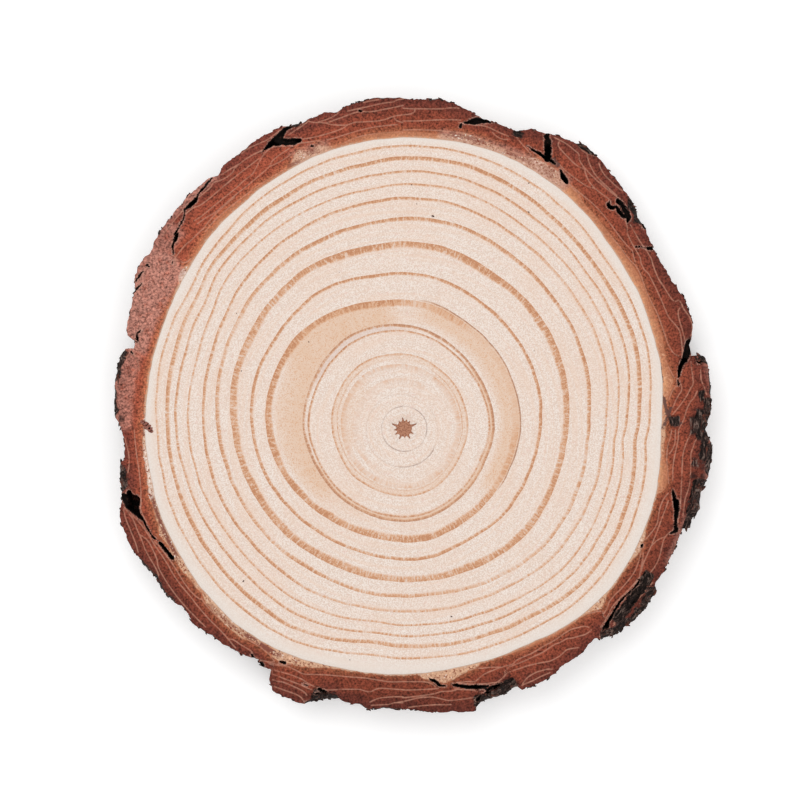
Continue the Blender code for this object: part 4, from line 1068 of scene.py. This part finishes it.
class Shader:
    """A material and short names for the nodes that it is made of."""

    def __init__(self, name):
        self.material = bpy.data.materials.new(name)
        self.material.use_nodes = True
        self.tree = self.material.node_tree
        self.surface = self.tree.nodes["Principled BSDF"]
        place_node = self.node("ShaderNodeTexCoord")
        scaled = self.node("ShaderNodeVectorMath", operation="SCALE")
        scaled.inputs["Scale"].default_value = 1 / MM
        self.link(place_node.outputs["Object"], scaled.inputs[0])
        self.position = scaled.outputs[0]

    def node(self, kind, **settings):
        made = self.tree.nodes.new(kind)
        for key, value in settings.items():
            setattr(made, key, value)
        return made

    def link(self, source, target):
        if hasattr(source, "is_linked"):
            self.tree.links.new(source, target)
        else:
            target.default_value = source

    def value(self, name):
        """The attribute called name."""
        return self.node("ShaderNodeAttribute", attribute_name=name).outputs["Fac"]

    def math(self, operation, *terms):
        made = self.node("ShaderNodeMath", operation=operation)
        for term, socket in zip(terms, made.inputs):
            self.link(term, socket)
        return made.outputs[0]

    def times(self, first, second):
        return self.math("MULTIPLY", first, second)

    def plus(self, first, second):
        return self.math("ADD", first, second)

    def minus(self, first, second):
        return self.math("SUBTRACT", first, second)

    def step(self, value, low, high):
        """0 where value is low and 1 where it is high, smooth between."""
        made = self.node("ShaderNodeMapRange", interpolation_type="SMOOTHSTEP")
        self.link(value, made.inputs["Value"])
        self.link(low, made.inputs["From Min"])
        self.link(high, made.inputs["From Max"])
        return made.outputs["Result"]

    def noise(self, vector, scale, detail=2.0, roughness=0.5):
        made = self.node("ShaderNodeTexNoise")
        self.link(vector, made.inputs["Vector"])
        made.inputs["Scale"].default_value = scale
        made.inputs["Detail"].default_value = detail
        made.inputs["Roughness"].default_value = roughness
        return made.outputs["Fac"]

    def mix(self, amount, first, second, blend="MIX"):
        made = self.node("ShaderNodeMix", data_type="RGBA", blend_type=blend)
        self.link(amount, made.inputs["Factor"])
        for colour, socket in ((first, "A_Color"), (second, "B_Color")):
            target = next(s for s in made.inputs if s.identifier == socket)
            self.link((*colour, 1.0) if isinstance(colour, tuple) else colour, target)
        return next(s for s in made.outputs if s.identifier == "Result_Color")

    def round_the_pith(self, around, outwards, upwards=0.0):
        """Coordinates that run round the pith, outwards from it and up, with no seam."""
        moved = self.node("ShaderNodeVectorMath", operation="SUBTRACT")
        self.link(self.position, moved.inputs[0])
        moved.inputs[1].default_value = (*PITH, 0.0)
        flat = self.node("ShaderNodeVectorMath", operation="MULTIPLY")
        self.link(moved.outputs[0], flat.inputs[0])
        flat.inputs[1].default_value = (1.0, 1.0, 0.0)
        way = self.node("ShaderNodeVectorMath", operation="NORMALIZE")
        self.link(flat.outputs[0], way.inputs[0])
        length = self.node("ShaderNodeVectorMath", operation="LENGTH")
        self.link(flat.outputs[0], length.inputs[0])
        turned = self.node("ShaderNodeVectorMath", operation="SCALE")
        self.link(way.outputs[0], turned.inputs[0])
        self.link(around, turned.inputs["Scale"])
        height = self.node("ShaderNodeVectorMath", operation="DOT_PRODUCT")
        self.link(moved.outputs[0], height.inputs[0])
        height.inputs[1].default_value = (0.0, 0.0, upwards)
        up = self.node("ShaderNodeCombineXYZ")
        away = self.times(length.outputs["Value"], outwards)
        self.link(self.plus(away, height.outputs["Value"]), up.inputs["Z"])
        both = self.node("ShaderNodeVectorMath", operation="ADD")
        self.link(turned.outputs[0], both.inputs[0])
        self.link(up.outputs[0], both.inputs[1])
        return both.outputs[0]

    def finish(self, colour, roughness, height, depth, strength, specular=0.5):
        """The finished material. Its bump has the height, and the depth is in millimetres."""
        self.surface.inputs["Specular IOR Level"].default_value = specular
        self.link(colour, self.surface.inputs["Base Color"])
        self.link(roughness, self.surface.inputs["Roughness"])
        bump = self.node("ShaderNodeBump")
        bump.inputs["Distance"].default_value = depth * MM
        bump.inputs["Strength"].default_value = strength
        self.link(height, bump.inputs["Height"])
        self.link(bump.outputs["Normal"], self.surface.inputs["Normal"])
        return self.material


EARLYWOOD = (0.650, 0.512, 0.428)
EARLYWOOD_PALE = (0.800, 0.712, 0.648)
EARLYWOOD_WARM = (0.725, 0.520, 0.400)
EARLYWOOD_PINK = (0.700, 0.460, 0.400)
LATEWOOD_LIGHT = (0.625, 0.352, 0.208)
LATEWOOD = (0.460, 0.200, 0.098)
STAINED = (0.680, 0.470, 0.335)
SMOKY = (0.560, 0.440, 0.420)
GREY_LINE = (0.270, 0.190, 0.165)
EDGE_PALE = (0.730, 0.665, 0.610)
PITH_BROWN = (0.450, 0.210, 0.125)
PITH_DARK = (0.270, 0.105, 0.060)


def wood_material():
    s = Shader("wood")
    late, ring_at = s.value("late"), s.value("ring_at")
    ticks = s.noise(s.round_the_pith(s.times(ring_at, 3.0), 0.9), 1.0, detail=1.0)
    rays = s.noise(s.round_the_pith(s.times(ring_at, 1.1), 0.12), 1.0, detail=3.0, roughness=0.6)
    grain = s.noise(s.position, 5.2, detail=1.0, roughness=0.6)
    soft = s.noise(s.position, 1.6, detail=2.0)
    broad = s.noise(s.position, 0.12, detail=3.0)
    bands = s.noise(s.round_the_pith(1.5, 2.2), 1.0, detail=2.0)

    colour = s.mix(s.step(grain, 0.34, 0.66), EARLYWOOD, EARLYWOOD_PALE)
    colour = s.mix(s.times(s.step(bands, 0.42, 0.70), 0.40), colour, EARLYWOOD_WARM)
    colour = s.mix(s.times(s.step(broad, 0.40, 0.70), 0.25), colour, EARLYWOOD_WARM)
    colour = s.mix(s.times(s.step(rays, 0.56, 0.72), 0.25), colour, EARLYWOOD_WARM)
    colour = s.mix(s.times(s.step(soft, 0.58, 0.72), 0.35), colour, EARLYWOOD_PINK)
    stain = s.times(s.value("stain"), s.plus(0.5, s.times(rays, 0.7)))
    colour = s.mix(stain, colour, STAINED)
    colour = s.mix(s.times(s.value("stain"), s.step(grain, 0.46, 0.30)), colour, LATEWOOD_LIGHT)
    colour = s.mix(s.times(s.value("smoke"), 0.3), colour, SMOKY)
    colour = s.mix(s.times(s.value("pale"), 0.7), colour, EDGE_PALE)

    ragged = s.plus(s.times(s.minus(ticks, 0.5), 2.2),
                    s.times(s.minus(grain, 0.5), 2.0))
    dense = s.times(late, s.math("MAXIMUM", s.plus(0.86, ragged), 0.25))
    colour = s.mix(s.step(dense, 0.02, 0.62), colour, LATEWOOD_LIGHT)
    colour = s.mix(s.times(s.step(dense, 0.40, 1.0), 0.85), colour, LATEWOOD)
    grey = s.times(s.value("grey"), s.plus(0.5, ticks))
    colour = s.mix(grey, colour, GREY_LINE)

    sponge = s.noise(s.position, 4.5, detail=2.0)
    pith_colour = s.mix(s.step(sponge, 0.40, 0.62), PITH_BROWN, PITH_DARK)
    colour = s.mix(s.step(s.value("pith"), 0.2, 0.8), colour, pith_colour)

    roughness = s.plus(0.56, s.times(grain, 0.18))
    height = s.plus(s.times(grain, 0.6), s.times(dense, 0.4))
    return s.finish(colour, roughness, height, 0.10, 0.35, specular=0.25)


BARK_INNER = (0.312, 0.098, 0.048)
BARK_RED = (0.235, 0.054, 0.029)
BARK_MAROON = (0.130, 0.032, 0.022)
BARK_LINE = (0.510, 0.245, 0.170)
BARK_PINK = (0.335, 0.150, 0.115)
CAMBIUM_TAN = (0.580, 0.270, 0.140)
CAMBIUM_ORANGE = (0.430, 0.162, 0.085)
CAMBIUM_CREAM = (0.590, 0.350, 0.225)
CAMBIUM_PINK = (0.470, 0.250, 0.195)
CAMBIUM_WHITE = (0.720, 0.590, 0.520)
CAMBIUM_EDGE = (0.590, 0.390, 0.280)
CRUMB_RED = (0.190, 0.055, 0.040)
CRACK_RIM = (0.520, 0.290, 0.225)
SMEARED = (0.090, 0.045, 0.040)
WEATHERED = (0.060, 0.036, 0.030)
WEATHERED_PALE = (0.200, 0.140, 0.115)
RUSTY = (0.155, 0.050, 0.032)
# Near-black: the weathered outer bark's own black, and painted shade in sunk notches and fissures.
NEAR_BLACK_BARK_AND_SHADE = (0.012, 0.008, 0.007)
# Painted shade for the cracks' depths: near-black, and a dark brown in patches on their floors.
CRACK_PAINTED_SHADE_BLACK = (0.008, 0.005, 0.004)
CRACK_PAINTED_SHADE_BROWN = (0.085, 0.028, 0.020)
RESIN_DARK = (0.045, 0.018, 0.012)
RESIN_LIGHT = (0.13, 0.055, 0.035)
BARK_SPECULAR = 0.12


def bark_material():
    s = Shader("bark")
    seam, crack, side, pale = s.value("seam"), s.value("crack"), s.value("side"), s.value("pale")
    granular = s.noise(s.position, 2.9, detail=2.0, roughness=0.75)
    mottled = s.noise(s.position, 0.8, detail=3.0, roughness=0.6)
    patches = s.noise(s.position, 0.28, detail=2.0)
    fine = s.noise(s.position, 6.5, detail=1.0)
    layered = s.noise(s.round_the_pith(26.0, 3.6, 2.4), 1.0, detail=2.0, roughness=0.6)
    off_granular = s.minus(granular, 0.5)
    off_mottled = s.minus(mottled, 0.5)

    above = s.plus(s.value("cambium"), s.times(off_mottled, 1.2))
    colour = s.mix(s.step(above, -0.1, 1.3), BARK_INNER, BARK_RED)
    across = s.plus(s.value("share"), s.times(off_mottled, 0.6))
    colour = s.mix(s.step(across, 0.40, 1.0), colour, BARK_MAROON)
    colour = s.mix(s.times(s.value("pink"), s.step(mottled, 0.2, 0.5)), colour, BARK_PINK)
    light = s.math("MAXIMUM", s.plus(1.0, s.times(off_granular, 3.8)), 0.2)
    light = s.times(light, s.value("light"))
    colour = s.mix(1.0, colour, light, "MULTIPLY")

    wide = s.plus(0.03, s.times(off_mottled, 0.12))
    line = s.step(s.minus(seam, wide), 0.14, -0.04)
    line = s.times(line, s.plus(0.15, s.times(s.plus(granular, patches), 0.55)))
    colour = s.mix(line, colour, BARK_LINE)

    paler = s.plus(pale, s.plus(s.times(off_mottled, 0.9), s.times(off_granular, 1.2)))
    layer = s.mix(s.step(above, -1.5, -0.2), CAMBIUM_TAN, CAMBIUM_ORANGE)
    layer = s.mix(s.step(paler, 0.1, 0.75), layer, CAMBIUM_CREAM)
    layer = s.mix(s.step(paler, 0.95, 1.45), layer, CAMBIUM_WHITE)
    layer = s.mix(s.times(s.value("pink"), 0.8), layer, CAMBIUM_PINK)
    layer = s.mix(1.0, layer, s.plus(1.0, s.times(off_granular, 1.4)), "MULTIPLY")
    crumbled = s.plus(s.value("cambium"), s.times(off_granular, 0.9))
    inside = s.step(crumbled, 0.10, -0.12)
    blood = s.times(s.step(granular, 0.46, 0.34), s.times(s.step(pale, 0.4, 0.8), s.step(pale, 1.3, 0.9)))
    layer = s.mix(s.times(blood, 0.9), layer, BARK_RED)
    red = s.times(s.value("red"), s.step(s.plus(mottled, granular), 1.36, 1.06))
    layer = s.mix(red, layer, CRUMB_RED)
    colour = s.mix(inside, colour, layer)
    border = s.step(s.plus(s.value("deep"), s.times(off_granular, 1.0)), 0.26, 0.0)
    colour = s.mix(s.times(border, 0.8), colour, CAMBIUM_EDGE)
    smeared = s.step(s.plus(s.value("smear"), s.times(off_granular, 0.6)), 0.18, -0.06)
    colour = s.mix(s.times(smeared, 0.85), colour, SMEARED)

    uneven = s.times(s.plus(off_mottled, off_granular), 0.8)
    dark = s.step(s.plus(s.value("dark"), uneven), 0.30, 0.62)
    streaky = s.plus(layered, s.times(off_granular, 0.35))
    # The sunk dark zones are painted near-black with streaks: partly the outer bark's own colour, partly
    # painted shade in the notches.
    dark_bark_and_shade = s.mix(s.step(streaky, 0.46, 0.58), NEAR_BLACK_BARK_AND_SHADE, WEATHERED)
    dark_bark_and_shade = s.mix(s.times(s.step(streaky, 0.57, 0.68), 0.8), dark_bark_and_shade, WEATHERED_PALE)
    colour = s.mix(dark, colour, dark_bark_and_shade)

    skirt_colour = s.mix(s.times(s.step(mottled, 0.56, 0.70), 0.5), dark_bark_and_shade, RUSTY)
    weathered = s.mix(s.step(mottled, 0.42, 0.68), WEATHERED, WEATHERED_PALE)
    weathered = s.mix(s.times(s.step(patches, 0.46, 0.60), 0.7), weathered, RUSTY)
    weathered = s.mix(s.step(granular, 0.50, 0.30), weathered, NEAR_BLACK_BARK_AND_SHADE)
    weathered = s.mix(s.times(s.value("plate_rim"), s.step(granular, 0.4, 0.6)), weathered, WEATHERED_PALE)
    # Fissures down the wall are painted near-black by their depth: painted shade in the recesses.
    weathered = s.mix(s.step(s.value("fissured"), 0.3, 1.2), weathered, NEAR_BLACK_BARK_AND_SHADE)
    outside = s.mix(s.step(side, 0.6, 0.95), skirt_colour, weathered)
    colour = s.mix(s.step(side, 0.08, 0.42), colour, outside)

    ragged = s.plus(crack, s.plus(s.times(off_granular, 0.30), s.times(off_mottled, 0.35)))
    rim = s.times(s.step(ragged, 0.34, 0.14), s.step(fine, 0.40, 0.60))
    colour = s.mix(s.times(rim, 0.75), colour, CRACK_RIM)
    # The cracks are painted near-black, and dark brown in patches deeper in: painted shade over the really
    # sunk gaps.
    colour = s.mix(s.step(ragged, 0.13, 0.03), colour, CRACK_PAINTED_SHADE_BLACK)
    within = s.times(s.step(ragged, -0.22, -0.55), s.step(mottled, 0.48, 0.60))
    colour = s.mix(s.times(within, 0.8), colour, CRACK_PAINTED_SHADE_BROWN)

    roughness = s.plus(0.78, s.times(granular, 0.15))
    height = s.plus(s.times(granular, 0.6), s.times(mottled, 0.6))
    return s.finish(colour, roughness, height, 0.22, 0.6, specular=BARK_SPECULAR)


def flake_material():
    s = Shader("flakes")
    granular = s.noise(s.position, 3.5, detail=2.0, roughness=0.7)
    mottled = s.noise(s.position, 0.6)
    colour = s.mix(s.step(granular, 0.42, 0.62), NEAR_BLACK_BARK_AND_SHADE, WEATHERED)
    colour = s.mix(s.times(s.step(mottled, 0.50, 0.64), 0.8), colour, RUSTY)
    colour = s.mix(s.times(s.step(granular, 0.60, 0.70), 0.6), colour, WEATHERED_PALE)
    return s.finish(colour, 0.9, granular, 0.15, 0.5, specular=BARK_SPECULAR)


def chip_material():
    s = Shader("bark_chip")
    granular = s.noise(s.position, 3.2, detail=2.0, roughness=0.7)
    colour = s.mix(s.step(granular, 0.36, 0.64), BARK_MAROON, BARK_PINK)
    return s.finish(colour, 0.9, granular, 0.15, 0.5, specular=BARK_SPECULAR)


def crumb_material():
    s = Shader("crumbs")
    granular = s.noise(s.position, 2.2, detail=1.0)
    colour = s.mix(s.step(granular, 0.40, 0.52), BARK_RED, CAMBIUM_CREAM)
    colour = s.mix(s.step(granular, 0.54, 0.66), colour, CAMBIUM_WHITE)
    return s.finish(colour, 0.9, granular, 0.08, 0.4, specular=BARK_SPECULAR)


def speck_material():
    s = Shader("resin_specks")
    grain = s.noise(s.position, 9.0)
    colour = s.mix(s.step(grain, 0.4, 0.6), RESIN_DARK, RESIN_LIGHT)
    return s.finish(colour, 0.55, grain, 0.04, 0.4)


# Small bits


def scatter(name, places, sizes, turns, tilt, seed, material):
    """One piece made of many rough lumps: their middles, half sizes and turns are given in order."""
    draws = np.random.default_rng(seed)
    lumps = bmesh.new()
    for spot, size, turn in zip(places, sizes, turns):
        matrix = Matrix.Translation(spot) @ Matrix.Rotation(turn, 4, "Z")
        for axis in ("X", "Y"):
            matrix = matrix @ Matrix.Rotation(draws.normal(0, tilt), 4, axis)
        matrix = matrix @ Matrix.Diagonal((*(np.array(size) * MM), 1))
        made = bmesh.ops.create_icosphere(lumps, subdivisions=1, radius=1.0)["verts"]
        for vertex in made:
            vertex.co = matrix @ (vertex.co * draws.uniform(0.7, 1.2))
            vertex.co = Vector(np.clip(vertex.co, *DRESSED_BOX))
    mesh = bpy.data.meshes.new(name)
    lumps.to_mesh(mesh)
    lumps.free()
    mesh.materials.append(material)
    piece = bpy.data.objects.new(name, mesh)
    bpy.context.scene.collection.objects.link(piece)
    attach(piece, "root")


def build_specks(material):
    """Resin specks, each a low lump set into the sawn wood."""
    angles, radii, halves = np.array(SPECKS).T
    turns = np.random.default_rng(91).uniform(0, math.pi, len(SPECKS))
    sizes = np.stack([halves, 0.6 * halves, np.full_like(halves, SPECK_HEIGHT)], axis=1)
    scatter("resin_specks", place(angles, radii, WOOD_TOP), sizes, turns, 0.0, 92, material)


def build_chip(material):
    """A chip of bark that lies on the edge of the wood."""
    spots = place(*np.array(CHIP).T[:2], WOOD_TOP)
    sizes = [(half, 0.8 * half, CHIP_HEIGHT) for angle, radius, half in CHIP]
    scatter("bark_chip", spots, sizes, np.linspace(0, 1, len(CHIP)), 0.0, 97, material)


def build_flakes(top, material):
    """Dark slivers of weathered bark that stand out round the rim, most of them on the skirts."""
    draws = np.random.default_rng(93)
    rows, columns = top["radius"].shape
    reach = top["radius"][-1] - top["radius"][TOP_ROWS - 1]
    weight = reach + 0.12
    columns_drawn = draws.choice(columns, FLAKES, p=weight / weight.sum())
    rows_drawn = draws.integers(TOP_ROWS - 1, rows, FLAKES)
    sizes = np.stack([draws.uniform(low, high, FLAKES) for low, high in FLAKE_SIZES], axis=1)
    turns = np.radians(columns_drawn * 360 / columns) + draws.normal(0, 0.35, FLAKES)
    scatter("bark_flakes", top["point"][rows_drawn, columns_drawn], sizes, turns, 0.5, 94, material)


def build_crumbs(top, material):
    """Crumbs and torn fibres of the pale layer between wood and bark."""
    draws = np.random.default_rng(95)
    weight = (top["cambium"] < -0.05) * smoothstep((top["pale"] - 0.3) / 0.5)
    # None lies at the wood's very edge.
    weight[:3] = 0
    chosen = draws.choice(weight.size, CRUMBS, p=weight.ravel() / weight.sum())
    sizes = np.stack([draws.uniform(low, high, CRUMBS) for low, high in CRUMB_SIZES], axis=1)
    turns = np.radians((chosen % BARK_COLUMNS) * 360 / BARK_COLUMNS) + draws.normal(0, 0.5, CRUMBS)
    spots = top["point"].reshape(-1, 3)[chosen]
    scatter("crumbs", spots, sizes, turns, 0.2, 96, material)


# The floor, the light and the camera


def build_floor(rim):
    """A pale table top, open under the slice, so that the sawn underside can be looked at from below."""
    mesh = bpy.data.meshes.new("floor")
    angles = np.arange(len(rim)) * 360 / len(rim)
    loops = [place(angles, radii, 0.0) for radii in (rim - OPENING_INSET, np.full(len(rim), TABLE_RADIUS))]
    mesh.from_pydata(np.concatenate(loops), [], grid_faces(2, len(rim), closed=False))
    floor = bpy.data.objects.new("floor", mesh)
    bpy.context.scene.collection.objects.link(floor)
    s = Shader("floor")
    cloudy = s.noise(s.position, 0.01)
    colour = s.mix(cloudy, (0.93, 0.93, 0.93), (0.95, 0.95, 0.95))
    # The table is softly lit from below, so that the slice throws only a light shadow on it.
    s.surface.inputs["Emission Color"].default_value = (1.0, 1.0, 1.0, 1.0)
    s.surface.inputs["Emission Strength"].default_value = TABLE_GLOW
    mesh.materials.append(s.finish(colour, 0.8, cloudy, 0.01, 0.1))


def build_light():
    world = bpy.data.worlds.new("studio")
    bpy.context.scene.world = world
    world.use_nodes = True
    sky = world.node_tree.nodes["Background"]
    sky.inputs["Color"].default_value = (1.0, 1.0, 1.0, 1.0)
    sky.inputs["Strength"].default_value = SKY_LIGHT
    for name, where, size, power in LAMPS:
        data = bpy.data.lights.new(name, "AREA")
        data.shape = "SQUARE"
        data.size = size
        data.energy = power
        lamp = bpy.data.objects.new(name, data)
        lamp.location = where
        lamp.rotation_euler = Vector(where).to_track_quat("Z", "Y").to_euler()
        bpy.context.scene.collection.objects.link(lamp)


def build_camera():
    data = bpy.data.cameras.new("camera")
    data.lens = LENS
    data.sensor_width = SENSOR
    data.clip_start = 0.01
    frame_width = PHOTO_PIXELS * PHOTO_SCALE
    camera = bpy.data.objects.new("camera", data)
    above = TOP + frame_width * LENS / SENSOR
    camera.location = (FRAME_MIDDLE[0] * MM, FRAME_MIDDLE[1] * MM, above * MM)
    bpy.context.scene.collection.objects.link(camera)
    bpy.context.scene.camera = camera


bpy.context.scene.view_settings.view_transform = "Standard"

build_camera()
build_light()
build_wood(wood_material())
sawn, rim = build_bark(bark_material())
build_floor(rim)
build_flakes(sawn, flake_material())
build_crumbs(sawn, crumb_material())
build_chip(chip_material())
build_specks(speck_material())
